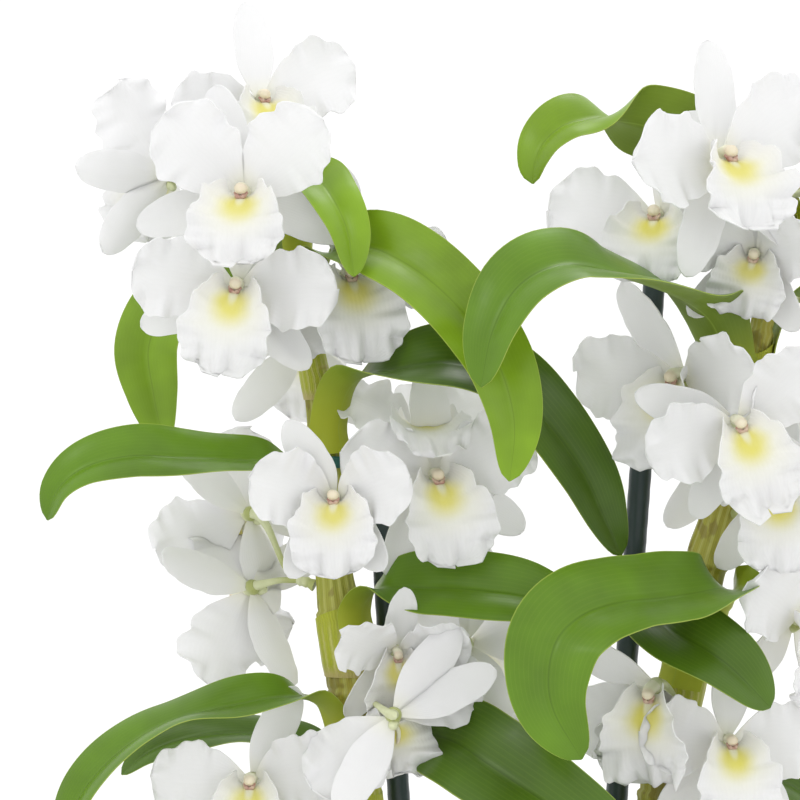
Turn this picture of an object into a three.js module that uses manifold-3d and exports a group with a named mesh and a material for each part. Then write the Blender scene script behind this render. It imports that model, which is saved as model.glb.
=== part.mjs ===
// A dendrobium orchid of the nobile kind: two leaning canes, each clipped to a stake, in a plain pot of bark.
// Millimetres, +Z up. The origin is the middle of the pot's base, and the plant is viewed along +Y.
// Blooms and leaves are thin blades: a formula gives the middle surface, and an even skin wraps it.

import * as THREE from 'three';
import { mergeVertices } from 'three/addons/utils/BufferGeometryUtils.js';
import Module from 'manifold-3d';

const wasm = await Module();
wasm.setup();

// ---- Driving dimensions ----

const GAP = 0.3;
// How far a shape is grown before another is cut clear of it.
const MARGIN = GAP + 0.1;
// Edges that move a face by less than this are merged after a cut.
const WELD = 0.06;
const POT = { height: 120, rimRadius: 66, baseRadius: 48, wall: 3, rimHeight: 9, rimStep: 3, sides: 20 };
const BARK = { level: 106, bottom: 3.3, chips: 8, chipLength: 22, chipWidth: 13, chipHeight: 8 };
const STAKE = { radius: 4.7, point: 0.58, taper: 4, cap: 2, sides: 10 };
const CANE = { sides: 8, nodeSwell: 0.9, nodeSpacing: 33 };
const CLIP = { height: 5, wall: 1.6, clearance: 1.1, corners: 5 };
const SEPAL = { length: 44, width: 18, lift: 2, curl: -8, cup: 22, claw: 0.18, peak: 0.45, tip: 0.3, start: 2,
  front: -2, thick: 0.7 };
const PETAL = { length: 43, width: 36, lift: 26, curl: 2, cup: 26, claw: 0.09, peak: 0.58, tip: 0.5, start: 2,
  front: 0.6, wave: 2.0, waves: 1.6, thick: 0.7 };
const LIP = { length: 38, width: 41, lift: 84, curl: -18, cupStart: 98, cupEnd: 34, claw: 0.52, peak: 0.62,
  tip: 0.5, reach: 0.9, foot: 4.2, wave: 3.4, waves: 2.6, thick: 0.7 };
const COLUMN = { length: 10, radius: 1.7, lean: 0.25, sides: 3 };
const HUB = { radius: 4.4, back: 4.5, front: 3, sides: 4 };
const PEDICEL = { radius: 1.35, end: 2.6, sides: 4 };
const PEDUNCLE = { radius: 2.1, reach: 6, off: 0.9 };
const LEAF = { thick: 0.9, fold: 0.28, clasp: 12, neck: 0.62, wrap: 35 };

// The canes' middle lines: [height, x, y, radius].
const LEFT_CANE = [
  [62, -43, -4, 5], [118, -50, -4, 6], [180, -56, -3, 8], [240, -62, -2, 8], [262, -65, -1, 7.6],
  [305, -69.5, 0, 9.8], [325, -72.5, 0, 9.8], [345, -75.5, 0, 8.2], [375, -78.5, 0, 7.2], [402, -80, 0, 7.2],
  [422, -82, 0, 6.2], [445, -86.5, 0, 5.2], [475, -91.5, 0, 4.4], [504, -93, 0, 3.6],
];
const RIGHT_CANE = [
  [62, 20, -7, 5], [118, 31, -6, 6], [180, 44, -5, 8], [235, 56, -3, 8.5], [265, 62, -2, 8.6],
  [300, 71, 0, 8.2], [335, 77, 0, 8.6], [355, 80.5, 0, 9], [390, 91, 0, 7], [410, 96.6, 0, 6],
  [455, 104, 0, 4.8], [490, 112, 0, 4.2], [516, 117, 0, 3.6],
];
// The stakes: foot and head of each straight rod.
const LEFT_STAKE = { foot: [-36, 12, 55], head: [-59.8, 12, 424] };
const RIGHT_STAKE = { foot: [29, 13, 55], head: [59.5, 12, 474] };
// Heights at which a clip ties a cane to its stake.
const CLIPS = { left: [396, 224], right: [400, 210] };

// Leaves: the cane, the height of the joint, the route of the midrib after it, the width,
// and where the upper side faces in the middle
// and at the tip (and, where it is given, near the cane). seat draws the base in to the cane,
// and turned is the share of the length by which the blade has turned away from it.
const LEAVES = {
  leaf_left_top: {
    cane: 'left', z: 494, width: 25,
    route: [[-84, -20, 512], [-77, -36, 506], [-70, -46, 491], [-67, -50, 472]],
    faces: [[0.1, -0.85, 0.45], [0.4, -0.9, 0.1]],
  },
  leaf_left_bract: {
    cane: 'left', z: 478, width: 14,
    route: [[-97, 12, 492], [-92, 20, 492], [-87, 24, 484]],
    faces: [[0.1, 0.8, 0.6], [0.4, 0.9, 0.1]],
  },
  leaf_left_arching: {
    cane: 'left', z: 462, width: 36,
    route: [
      [-79, -12, 481], [-63, -27, 485], [-45, -39, 477], [-28, -46, 463],
      [-14, -48, 446], [-6, -52, 430], [-2, -53, 411], [-4, -53, 389],
    ],
    faces: [[0.25, -0.88, 0.4], [0.2, -0.97, 0.1]],
  },
  leaf_left_long: {
    cane: 'left', z: 412, width: 39,
    route: [
      [-68, -14, 429], [-48, -27, 435], [-27, -33, 437], [-6, -31, 430],
      [12, -25, 413], [28, -18, 391], [37, -14, 372], [44, -10, 357],
    ],
    faces: [[-0.1, -0.65, 0.75], [0.35, -0.85, 0.3]],
  },
  leaf_left_rear: {
    cane: 'left', z: 450, width: 34, seat: 0.8,
    route: [
      [-108, 20, 468], [-130, 28, 472], [-147, 32, 463],
      [-156, 34, 445], [-154, 33, 425], [-149, 30, 402],
    ],
    faces: [[-0.3, -0.85, 0.45], [-0.2, -0.97, 0.1]],
  },
  leaf_left_level: {
    cane: 'left', z: 386, width: 31, seat: 1.55,
    route: [
      [-97, -16, 395], [-116, -28, 397], [-137, -38, 398], [-157, -44, 399],
      [-175, -46, 395], [-187, -46, 386], [-192, -44, 373],
    ],
    faces: [[0, -0.6, 0.78], [-0.5, -0.8, 0.35]],
  },
  leaf_left_middle: {
    cane: 'left', z: 334, width: 35,
    route: [
      [-57, -16, 343], [-36, -22, 344], [-15, -25, 343],
      [6, -25, 340], [25, -21, 332], [36, -17, 320],
    ],
    faces: [[0, -0.8, 0.6], [0.3, -0.75, 0.6]],
  },
  leaf_left_drooping: {
    cane: 'left', z: 288, width: 31, turned: 0.32,
    route: [
      [-84, -18, 297], [-99, -25, 299], [-117, -29, 296], [-137, -31, 291], [-155, -33, 283],
      [-171, -34, 270], [-182, -34, 254], [-189, -32, 230],
    ],
    near: [-0.1, -0.6, 0.8],
    faces: [[0, -0.1, 1], [-0.5, -0.65, 0.5]],
  },
  leaf_left_behind: {
    cane: 'left', z: 262, width: 23, seat: 1.7,
    route: [[-86, 16, 274], [-112, 28, 279], [-137, 33, 277], [-155, 35, 271], [-168, 35, 261]],
    faces: [[0, -0.5, 0.85], [-0.3, -0.7, 0.5]],
  },
  leaf_left_dark: {
    cane: 'left', z: 276, width: 43, turned: 0.24,
    route: [
      [-52, -9, 281], [-39, -14, 283], [-26, -28, 281], [-12, -41, 273],
      [10, -51, 259], [34, -53, 243], [55, -51, 226],
    ],
    near: [-0.2, -0.9, 0.3],
    faces: [[-0.05, -0.9, 0.42], [0.25, -0.88, 0.4]],
  },
  leaf_left_low: {
    cane: 'left', z: 206, width: 29, seat: 1.6,
    route: [[-75, -8, 222], [-94, -12, 225], [-116, -16, 217], [-136, -18, 198], [-146, -18, 173]],
    faces: [[0, -0.4, 0.9], [-0.6, -0.6, 0.4]],
  },
  leaf_left_lowest: {
    cane: 'left', z: 178, width: 28, seat: 2.1,
    route: [[-42, -12, 195], [-24, -20, 202], [-4, -26, 197], [10, -30, 180], [16, -31, 156]],
    faces: [[0, -0.6, 0.8], [0.4, -0.8, 0.3]],
  },
  leaf_right_top: {
    cane: 'right', z: 503, width: 37, turned: 0.55,
    route: [
      [100, 12, 519], [86, 13, 526.5], [72, 11, 533], [60, 7, 536.5], [47, 2, 539],
      [34, -3, 539.5], [21.5, -8, 537], [12.5, -11, 530], [8, -12, 521], [7, -12, 512],
    ],
    near: [0, 0.88, 0.48],
    faces: [[-0.05, 0, 0.99], [-0.6, -0.8, 0.15]],
  },
  leaf_right_bract: {
    cane: 'right', z: 486, width: 14,
    route: [[106, -14, 500], [99, -22, 502], [93, -27, 496]],
    faces: [[0, -0.8, 0.6], [-0.3, -0.9, 0.2]],
  },
  leaf_right_arching: {
    cane: 'right', z: 424, width: 44, turned: 0.16,
    route: [
      [89, -14, 433], [85, -17, 446], [78, -25, 457], [63, -42, 465], [40, -58, 472],
      [18, -68, 476], [0, -76, 468], [-11, -80, 450], [-16, -81, 427],
    ],
    near: [0.1, 0.85, 0.5],
    faces: [[0.05, -0.25, 0.96], [-0.5, -0.85, 0.2]],
  },
  leaf_right_front: {
    cane: 'right', z: 333, width: 46, turned: 0.18,
    route: [
      [89, -14, 341], [84, -28, 344], [72, -38, 342.5], [57, -48, 341], [41, -58, 340],
      [26, -67, 336], [15, -74, 327], [11, -77, 313], [13, -79, 298], [24, -79, 279],
    ],
    near: [0, -0.62, 0.78],
    faces: [[-0.2, -0.7, 0.65], [-0.12, -0.99, 0.05]],
  },
  leaf_right_short: {
    cane: 'right', z: 314, width: 38, seat: 0.8,
    route: [[60, -21, 329], [67, -31, 325], [85, -38, 314], [103, -40, 296]],
    faces: [[0.2, -0.88, 0.45], [0.3, -0.85, 0.45]],
  },
  leaf_right_outer: {
    cane: 'right', z: 416, width: 29,
    route: [[113, 8, 428], [131, 13, 430], [151, 14, 421], [167, 12, 404], [175, 10, 383]],
    faces: [[0, -0.5, 0.85], [0.5, -0.7, 0.4]],
  },
  leaf_right_high: {
    cane: 'right', z: 446, width: 27, seat: 0.95,
    route: [[116, 16, 461], [128, 32, 468], [140, 44, 464], [150, 52, 450], [156, 56, 430]],
    faces: [[0, 0.5, 0.85], [0.3, 0.85, 0.35]],
  },
  leaf_right_grey: {
    cane: 'right', z: 244, width: 30, seat: 2.0,
    route: [[80, 4, 259], [98, 8, 264], [120, 10, 257], [138, 10, 240], [146, 8, 216]],
    faces: [[0.1, -0.5, 0.85], [0.5, -0.7, 0.4]],
  },
  leaf_right_low: {
    cane: 'right', z: 232, width: 28, seat: 1.45,
    route: [[42, -18, 247], [24, -28, 251], [6, -36, 242], [-6, -40, 222]],
    faces: [[0, -0.1, 1], [-0.6, -0.3, 0.5]],
  },
  leaf_right_lowest: {
    cane: 'right', z: 184, width: 28, seat: 1.45,
    route: [[62, -8, 198], [80, -12, 202], [99, -14, 193], [114, -14, 172]],
    faces: [[0, -0.4, 0.9], [0.5, -0.7, 0.4]],
  },
};

// Sprays: the cane, the height and the side (degrees round the cane, 0 to the viewer, 90 to +X) of the
// peduncle, and its blooms: hub, facing (turn, tilt, roll in degrees), size, and where a bloom differs,
// how far it has opened and the angles of its tepals (dorsal, two laterals, two petals) round its face.
const SPRAYS = {
  spray_left_top: {
    cane: 'left', z: 495, side: -20,
    blooms: [
      { hub: [-107, 2, 547.5], facing: [16, 6, 0], size: 0.95, angles: [98, -52, 232, 22, 196] },
      { hub: [-112, -36, 506], facing: [-8, 2, 0], size: 1.04, lip: 0.8, angles: [108, -22, 192, 38, 132] },
      { hub: [-145, -6, 516], facing: [-148, 4, 0], size: 1, lip: 0.8, angles: [112, -46, 2, 66, 150] },
    ],
  },
  spray_left_upper: {
    cane: 'left', z: 462, side: -60,
    blooms: [
      { hub: [-115, -32, 469], facing: [-6, -8, -8], size: 0.98, angles: [90, -46, 214, 10, 176] },
    ],
  },
  spray_left_upper_right: {
    cane: 'left', z: 446, side: 25,
    blooms: [{ hub: [-70, -10, 474], facing: [12, -4, 4], size: 1, angles: [92, -60, 176, 8, 214] }],
  },
  spray_left_middle: {
    cane: 'left', z: 368, side: 0,
    blooms: [
      { hub: [-75, -38, 381], facing: [-4, 4, 4], size: 0.92, open: 0.3, angles: [116, -58, 236, 12, 166] },
    ],
  },
  spray_left_middle_right: {
    cane: 'left', z: 380, side: 42,
    blooms: [
      { hub: [-34, -14, 390], facing: [12, -4, 8], size: 1, angles: [88, -38, 240, 22, 154] },
      { hub: [-40, 0, 405], facing: [10, 50, 0], size: 0.9 },
    ],
  },
  spray_left_rear: {
    cane: 'left', z: 344, side: -105,
    blooms: [
      { hub: [-113, 22, 373], facing: [-152, -14, -45], size: 0.96 },
      { hub: [-112, 10, 342], facing: [-142, -22, -72], size: 1, angles: [90, -30, 228, 16, 160] },
    ],
  },
  spray_left_lower_right: {
    cane: 'left', z: 316, side: 60,
    blooms: [
      { hub: [-50, -20, 318], facing: [10, -24, 0], size: 0.76, open: 0.6 },
      { hub: [-20, 4, 319], facing: [150, -20, 0], size: 0.96 },
    ],
  },
  spray_left_lower: {
    cane: 'left', z: 296, side: 20,
    blooms: [{ hub: [-51, -44, 293], facing: [180, -20, 0], size: 1, lip: 0.6, angles: [156, 298, 125, 322, 141] }],
  },
  spray_left_low: {
    cane: 'left', z: 250, side: -50,
    blooms: [{ hub: [-110, -16, 264], facing: [-4, -6, 0], size: 0.94, angles: [62, -52, 232, 14, 176] }],
  },
  spray_left_back: {
    cane: 'left', z: 430, side: 175,
    blooms: [{ hub: [-90, 38, 446], facing: [172, 0, 0], size: 0.95 }],
  },
  spray_right_top: {
    cane: 'right', z: 507, side: -20,
    blooms: [
      { hub: [82, -44, 520], facing: [26, 6, 0], size: 1.1, lip: 0.8, angles: [93, -44, 252, 34, 182] },
      { hub: [128, -8, 512], facing: [62, 6, 0], size: 0.98 },
    ],
  },
  spray_right_upper: {
    cane: 'right', z: 474, side: -50,
    blooms: [
      { hub: [59, -12, 498.5], facing: [-15, 1, 0], size: 1.02, lip: 0.8, angles: [68, -24, 205, 30, 176] },
      { hub: [99, -20, 482], facing: [-14, -12, -10], size: 0.84, lip: 0.8, open: 0.4 },
    ],
  },
  spray_right_outer: {
    cane: 'right', z: 462, side: 80,
    blooms: [{ hub: [132, -2, 468], facing: [74, -4, 0], size: 0.98 }],
  },
  spray_right_middle: {
    cane: 'right', z: 424, side: -20,
    blooms: [
      { hub: [69, -14, 432], facing: [-38, -14, 0], size: 1.04, angles: [126, -60, 238, 4, 172] },
      { hub: [89, -42, 413], facing: [12, -14, 18], size: 0.96, angles: [150, -50, 232, 30, 176] },
    ],
  },
  spray_right_lower: {
    cane: 'right', z: 374, side: 40,
    blooms: [
      { hub: [109, -22, 384], facing: [-6, -4, 0], size: 0.9 },
      { hub: [118, -4, 330], facing: [34, -12, 0], size: 1 },
    ],
  },
  spray_right_lowest: {
    cane: 'right', z: 290, side: 0,
    blooms: [
      { hub: [57, -22, 303], facing: [-24, -26, 0], size: 0.98, angles: [152, -66, 292, 250, 206] },
      { hub: [88, -16, 280], facing: [8, -2, 0], size: 0.92, angles: [90, -54, 228, 8, 172] },
    ],
  },
  spray_right_back: {
    cane: 'right', z: 398, side: 175,
    blooms: [{ hub: [96, 42, 400], facing: [172, 0, 0], size: 0.95 }],
  },
};
const TEPAL_ANGLES = [90, -50, 230, 28, 152];

const WHITE = new THREE.MeshStandardMaterial({ color: 0xf4f3ee, roughness: 0.55, metalness: 0 });
const LEAF_GREEN = new THREE.MeshStandardMaterial({ color: 0x5f9a3a, roughness: 0.4, metalness: 0 });
const CANE_OLIVE = new THREE.MeshStandardMaterial({ color: 0x9a9440, roughness: 0.6, metalness: 0 });
const STAKE_GREEN = new THREE.MeshStandardMaterial({ color: 0x22383a, roughness: 0.45, metalness: 0 });
const CLIP_TEAL = new THREE.MeshStandardMaterial({ color: 0x1f5a58, roughness: 0.4, metalness: 0 });
const POT_CLAY = new THREE.MeshStandardMaterial({ color: 0xad735a, roughness: 0.5, metalness: 0 });
const BARK_BROWN = new THREE.MeshStandardMaterial({ color: 0x6b4a30, roughness: 0.9, metalness: 0 });

// ---- Small helpers ----

const RAD = Math.PI / 180;
const vec = (x, y, z) => new THREE.Vector3(x, y, z);
const mix = (a, b, t) => a + (b - a) * t;
const smooth = (a, b, x) => {
  const t = Math.min(1, Math.max(0, (x - a) / (b - a)));
  return t * t * (3 - 2 * t);
};
// A repeatable draw between 0 and 1 for whole numbers.
const draw = (n) => {
  const value = Math.sin(n * 12.9898 + 4.1414) * 43758.5453;
  return value - Math.floor(value);
};

function toSolid(geometry) {
  const bare = geometry.clone();
  bare.deleteAttribute('normal');
  bare.deleteAttribute('uv');
  const merged = mergeVertices(bare, 1e-4);
  return new wasm.Manifold(new wasm.Mesh({
    numProp: 3,
    vertProperties: new Float32Array(merged.attributes.position.array),
    triVerts: new Uint32Array(merged.index.array),
  }));
}

function toGeometry(solid) {
  const mesh = solid.getMesh();
  const geometry = new THREE.BufferGeometry();
  geometry.setAttribute('position', new THREE.BufferAttribute(mesh.vertProperties, 3));
  geometry.setIndex(new THREE.BufferAttribute(mesh.triVerts, 1));
  geometry.computeVertexNormals();
  return geometry;
}

// The largest body of a solid; loose scraps that a cut leaves are dropped.
function largest(solid) {
  const bodies = solid.decompose();
  return bodies.reduce((best, body) => (body.volume() > best.volume() ? body : best), bodies[0]);
}

const joinAll = (solids) => solids.reduce((whole, solid) => whole.add(solid));

// A closed skin of even thickness round the surface mid(s, t): s along it (stations), t across it (-1 to 1).
// Both faces are split along the same diagonals. margin pushes the rim outwards in the surface.
function skin(mid, stations, cells, thick, margin = 0) {
  const rows = stations.length;
  const columns = cells + 1;
  const step = 0.004;
  const points = [];
  for (const side of [1, -1]) {
    stations.forEach((s, i) => {
      for (let j = 0; j < columns; j += 1) {
        const t = -1 + (2 * j) / cells;
        const along = mid(Math.min(1, s + step), t).sub(mid(Math.max(0, s - step), t)).normalize();
        const across = mid(s, Math.min(1, t + step)).sub(mid(s, Math.max(-1, t - step))).normalize();
        const normal = vec(0, 0, 0).crossVectors(across, along).normalize();
        const point = mid(s, t).addScaledVector(normal, (side * thick) / 2);
        if (margin && i === 0) point.addScaledVector(along, -margin);
        if (margin && i === rows - 1) point.addScaledVector(along, margin);
        if (margin && j === 0) point.addScaledVector(across, -margin);
        if (margin && j === cells) point.addScaledVector(across, margin);
        points.push(point.x, point.y, point.z);
      }
    });
  }
  const at = (i, j, under) => i * columns + j + (under ? rows * columns : 0);
  const faces = [];
  for (let i = 0; i < rows - 1; i += 1) {
    for (let j = 0; j < cells; j += 1) {
      faces.push(at(i, j), at(i, j + 1), at(i + 1, j + 1), at(i, j), at(i + 1, j + 1), at(i + 1, j));
      faces.push(at(i, j, 1), at(i + 1, j + 1, 1), at(i, j + 1, 1));
      faces.push(at(i, j, 1), at(i + 1, j, 1), at(i + 1, j + 1, 1));
    }
  }
  const rim = [];
  for (let j = 0; j < cells; j += 1) rim.push([0, j]);
  for (let i = 0; i < rows - 1; i += 1) rim.push([i, cells]);
  for (let j = cells; j > 0; j -= 1) rim.push([rows - 1, j]);
  for (let i = rows - 1; i > 0; i -= 1) rim.push([i, 0]);
  rim.forEach(([i, j], k) => {
    const [ni, nj] = rim[(k + 1) % rim.length];
    faces.push(at(i, j), at(i, j, 1), at(ni, nj, 1), at(i, j), at(ni, nj, 1), at(ni, nj));
  });
  const geometry = new THREE.BufferGeometry();
  geometry.setAttribute('position', new THREE.Float32BufferAttribute(points, 3));
  geometry.setIndex(faces);
  return geometry;
}

// A lathed profile of [distance along, radius] carried along a curve, for canes, pedicels and rods.
function bentLathe(profile, sides, curve) {
  const length = curve.getLength();
  const outline = profile.map(([along, radius]) => new THREE.Vector2(radius, along));
  const geometry = new THREE.LatheGeometry(outline, sides);
  const place = geometry.attributes.position;
  const reference = vec(0.31, 0.93, 0.2).normalize();
  for (let i = 0; i < place.count; i += 1) {
    const share = Math.min(1, Math.max(0, place.getY(i) / length));
    const centre = curve.getPointAt(share);
    const tangent = curve.getTangentAt(share);
    const side = vec(0, 0, 0).crossVectors(reference, tangent).normalize();
    const front = vec(0, 0, 0).crossVectors(tangent, side).normalize();
    const point = centre.addScaledVector(side, place.getX(i)).addScaledVector(front, place.getZ(i));
    point.addScaledVector(tangent, place.getY(i) - share * length);
    place.setXYZ(i, point.x, point.y, point.z);
  }
  const solid = toSolid(geometry);
  return solid.volume() > 0 ? solid : toSolid(flipped(geometry));
}

function flipped(geometry) {
  const turned = geometry.clone();
  const index = turned.index.array;
  for (let i = 0; i < index.length; i += 3) {
    [index[i + 1], index[i + 2]] = [index[i + 2], index[i + 1]];
  }
  return turned;
}

function skinSolid(mid, stations, cells, thick, margin) {
  const geometry = skin(mid, stations, cells, thick, margin);
  const solid = toSolid(geometry);
  return solid.volume() > 0 ? solid : toSolid(flipped(geometry));
}

// ---- Canes ----

const bentThrough = (points) => new THREE.CatmullRomCurve3(points, false, 'catmullrom', 0.5);
const caneCurve = (line) => bentThrough(line.map(([z, x, y]) => vec(x, y, z)));
const CANES = { left: LEFT_CANE, right: RIGHT_CANE };

// Place and radius of a cane at a height.
function caneAt(name, z) {
  const line = CANES[name];
  const last = line.length - 2;
  const i = Math.min(last, Math.max(0, line.findIndex((row, k) => k <= last && z <= line[k + 1][0])));
  const share = (z - line[i][0]) / (line[i + 1][0] - line[i][0]);
  const [, x, y, radius] = line[i].map((value, k) => mix(value, line[i + 1][k], share));
  return { centre: vec(x, y, z), radius };
}

// A cane is a lathed stem with a swollen ring and a groove at every node.
function caneSolid(name, extra = 0) {
  const line = CANES[name];
  const curve = caneCurve(line);
  const length = curve.getLength();
  const profile = [[-extra, 0]];
  const count = Math.round(length / CANE.nodeSpacing);
  for (let k = 0; k <= count; k += 1) {
    const along = (length * k) / count;
    const radius = (at) => caneAt(name, curve.getPointAt(Math.min(1, at / length)).z).radius + extra;
    if (k === 0) profile.push([-extra, radius(0)]);
    if (k > 0 && k < count) {
      profile.push([along - 1.6, radius(along) + CANE.nodeSwell], [along + 1.2, radius(along)]);
    }
    if (k === count) profile.push([length + extra, radius(length)]);
  }
  profile.push([length + extra, 0]);
  return bentLathe(profile, CANE.sides, curve);
}

// ---- Stakes and clips ----

function stakeSolid({ foot, head }, extra = 0) {
  const curve = new THREE.LineCurve3(vec(foot[0], foot[1], foot[2]), vec(head[0], head[1], head[2]));
  const length = curve.getLength();
  const r = STAKE.radius + extra;
  const profile = [
    [-extra, 0], [-extra, r * STAKE.point], [STAKE.taper, r],
    [length - STAKE.cap, r], [length + extra, r * STAKE.point], [length + extra, 0],
  ];
  return bentLathe(profile, STAKE.sides, curve);
}

function stakeAt({ foot, head }, z) {
  const share = (z - foot[2]) / (head[2] - foot[2]);
  return vec(mix(foot[0], head[0], share), mix(foot[1], head[1], share), z);
}

// The outline of a band that goes round two circles of the given radii.
function bandOutline(distance, first, second) {
  const path = [];
  const lean = Math.asin((first - second) / distance);
  const arc = (x, radius, from, to) => {
    for (let k = 0; k <= CLIP.corners; k += 1) {
      const angle = mix(from, to, k / CLIP.corners);
      path.push(new THREE.Vector2(x + radius * Math.cos(angle), radius * Math.sin(angle)));
    }
  };
  const side = Math.PI / 2 - lean;
  arc(0, first, side, 2 * Math.PI - side);
  arc(distance, second, -side, side);
  return path;
}

function clipSolid(caneName, stake, z, extra = 0) {
  const cane = caneAt(caneName, z);
  const rod = stakeAt(stake, z);
  const between = vec(rod.x - cane.centre.x, rod.y - cane.centre.y, 0);
  const around = CLIP.clearance - extra;
  const inner = [cane.radius + CANE.nodeSwell + around, STAKE.radius + around];
  const outer = inner.map((r) => r + CLIP.wall + 2 * extra);
  const shape = new THREE.Shape(bandOutline(between.length(), ...outer));
  shape.holes.push(new THREE.Path(bandOutline(between.length(), ...inner).reverse()));
  const depth = CLIP.height + 2 * extra;
  const geometry = new THREE.ExtrudeGeometry(shape, { depth, bevelEnabled: false, steps: 1 });
  geometry.rotateZ(Math.atan2(between.y, between.x));
  geometry.translate(cane.centre.x, cane.centre.y, z - CLIP.height / 2 - extra);
  return toSolid(geometry);
}

// ---- Leaves ----

const LEAF_STATIONS = [0, 0.14, 0.32, 0.5, 0.68, 0.87, 1];

// Half the width of a leaf along it, as a share of the greatest: clasping base, long middle, blunt tip.
function leafShape(s) {
  const neck = mix(LEAF.neck, 1, smooth(0.1, 0.4, s));
  const taper = Math.max(0, (s - 0.45) / 0.57);
  const tip = Math.pow(Math.max(0, 1 - taper * taper), 0.6);
  return Math.max(0.07, neck * tip);
}

function leafRoute(leaf) {
  const start = caneAt(leaf.cane, leaf.z);
  const sheath = caneAt(leaf.cane, leaf.z - LEAF.clasp);
  const toward = vec(...leaf.route[0]).sub(start.centre).setZ(0).normalize();
  const clear = (place) => place.radius + CANE.nodeSwell + GAP + LEAF.thick / 2;
  const off = (place) => clear(place) / Math.cos(LEAF.wrap * RAD) - (leaf.seat ?? 0);
  const points = [
    sheath.centre.clone().addScaledVector(toward, off(sheath)),
    start.centre.clone().addScaledVector(toward, off(start)),
    ...leaf.route.map((place) => vec(...place)),
  ];
  return { curve: bentThrough(points), toward, radius: off(start) };
}

// The middle surface of a leaf: a midrib, a V fold that is tight round the cane and opens outwards.
function leafSurface(leaf) {
  const { curve, toward, radius } = leafRoute(leaf);
  const base = toward.clone().negate();
  const middle = vec(...leaf.faces[0]).normalize();
  const near = leaf.near ? vec(...leaf.near).normalize() : middle;
  const end = vec(...leaf.faces[1]).normalize();
  const turned = leaf.turned ?? 0.38;
  return (s, t) => {
    const centre = curve.getPointAt(s);
    const tangent = curve.getTangentAt(s);
    const facing = base.clone()
      .lerp(near, smooth(0.08, turned, s))
      .lerp(middle, smooth(turned, turned + 0.22, s))
      .lerp(end, smooth(0.4, 0.95, s));
    const normal = facing.addScaledVector(tangent, -facing.dot(tangent)).normalize();
    const across = vec(0, 0, 0).crossVectors(tangent, normal).normalize();
    const half = (leaf.width / 2) * leafShape(s);
    const opening = smooth(0.06, 0.4, s);
    const bend = mix(Math.min(1.9, half / radius), LEAF.fold * 2, opening) * Math.abs(t);
    const reach = half * t;
    return centre
      .addScaledVector(across, reach * Math.cos(bend * 0.5))
      .addScaledVector(normal, Math.abs(reach) * Math.sin(bend * 0.5));
  };
}

const leafSolid = (leaf, extra = 0) =>
  skinSolid(leafSurface(leaf), LEAF_STATIONS, CELLS.leaf, LEAF.thick + 2 * extra, extra);

// ---- Blooms ----

// Where a blade is divided along it, and the cells across it.
const CELLS = { sepal: 1, petal: 2, lip: 3, leaf: 2 };
const SEPAL_STATIONS = [0, 0.4, 0.8, 1];
const PETAL_STATIONS = [0, 0.36, 0.76, 1];
const LIP_STATIONS = [0, 0.34, 0.74, 1];

// Half width along a tepal as a share of the greatest: a claw of the given share, a peak, a rounded tip.
function tepalShape(s, claw, peak, tip) {
  if (s < peak) return mix(claw, 1, Math.sin((Math.PI / 2) * (s / peak)));
  return Math.max(tip, Math.sqrt(1 - Math.pow((s - peak) / (1 - peak), 2.4)));
}

// The middle surface of a sepal or petal that leaves the hub at an angle round the bloom's face.
function tepalSurface(form, angle, phase) {
  const outward = vec(Math.cos(angle * RAD), Math.sin(angle * RAD), 0);
  const across = vec(-Math.sin(angle * RAD), Math.cos(angle * RAD), 0);
  const from = form.lift * RAD;
  const turn = (form.curl - form.lift) * RAD;
  const cup = form.cup * RAD;
  return (s, t) => {
    const rise = from + turn * s;
    const out = (form.length * (Math.sin(rise) - Math.sin(from))) / turn + form.start;
    const up = (form.length * (Math.cos(from) - Math.cos(rise))) / turn + form.front;
    const half = (form.width / 2) * tepalShape(s, form.claw, form.peak, form.tip);
    const wave = Math.sin(2 * Math.PI * (form.waves ?? 0) * s + phase);
    const ripple = (form.wave ?? 0) * t * t * wave * s;
    const bend = cup * t;
    const lift = (half * (1 - Math.cos(bend))) / cup + ripple;
    return outward.clone().multiplyScalar(out - Math.sin(rise) * lift)
      .addScaledVector(across, (half * Math.sin(bend)) / cup)
      .add(vec(0, 0, up + Math.cos(rise) * lift));
  };
}

// The lip: a tube round the column at its foot that opens into a broad waved trumpet hanging down.
function lipSurface(length, phase) {
  const from = LIP.lift * RAD;
  const turn = (LIP.curl - LIP.lift) * RAD;
  return (s, t) => {
    const rise = from + turn * Math.pow(s, 0.8);
    const middle = from + turn * Math.pow(s, 0.8) * 0.55;
    const down = length * s * Math.cos(middle) + 1.5;
    const forward = length * s * Math.sin(middle) * LIP.reach + LIP.foot;
    const half = (LIP.width / 2) * tepalShape(s, LIP.claw, LIP.peak, LIP.tip);
    const cup = mix(LIP.cupStart, LIP.cupEnd, smooth(0, 0.7, s)) * RAD;
    const bend = cup * t;
    const wave = Math.sin(2 * Math.PI * LIP.waves * s + phase);
    const ripple = LIP.wave * t * t * wave * smooth(0.2, 0.9, s);
    const lift = (half * (1 - Math.cos(bend))) / cup + ripple;
    return vec((half * Math.sin(bend)) / cup, -down + Math.sin(rise) * lift, forward + Math.cos(rise) * lift);
  };
}

// Places a bloom: its own x to the right, y up its face and z out of it.
function bloomMatrix({ hub, facing, size }) {
  const [turn, tilt, roll] = facing.map((value) => value * RAD);
  const out = vec(Math.sin(turn) * Math.cos(tilt), -Math.cos(turn) * Math.cos(tilt), Math.sin(tilt));
  const right = vec(Math.cos(turn), Math.sin(turn), 0);
  const up = vec(0, 0, 0).crossVectors(out, right);
  const matrix = new THREE.Matrix4().makeBasis(right, up, out);
  matrix.multiply(new THREE.Matrix4().makeRotationZ(roll));
  matrix.scale(vec(size, size, size));
  matrix.setPosition(hub[0], hub[1], hub[2]);
  return matrix;
}

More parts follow.
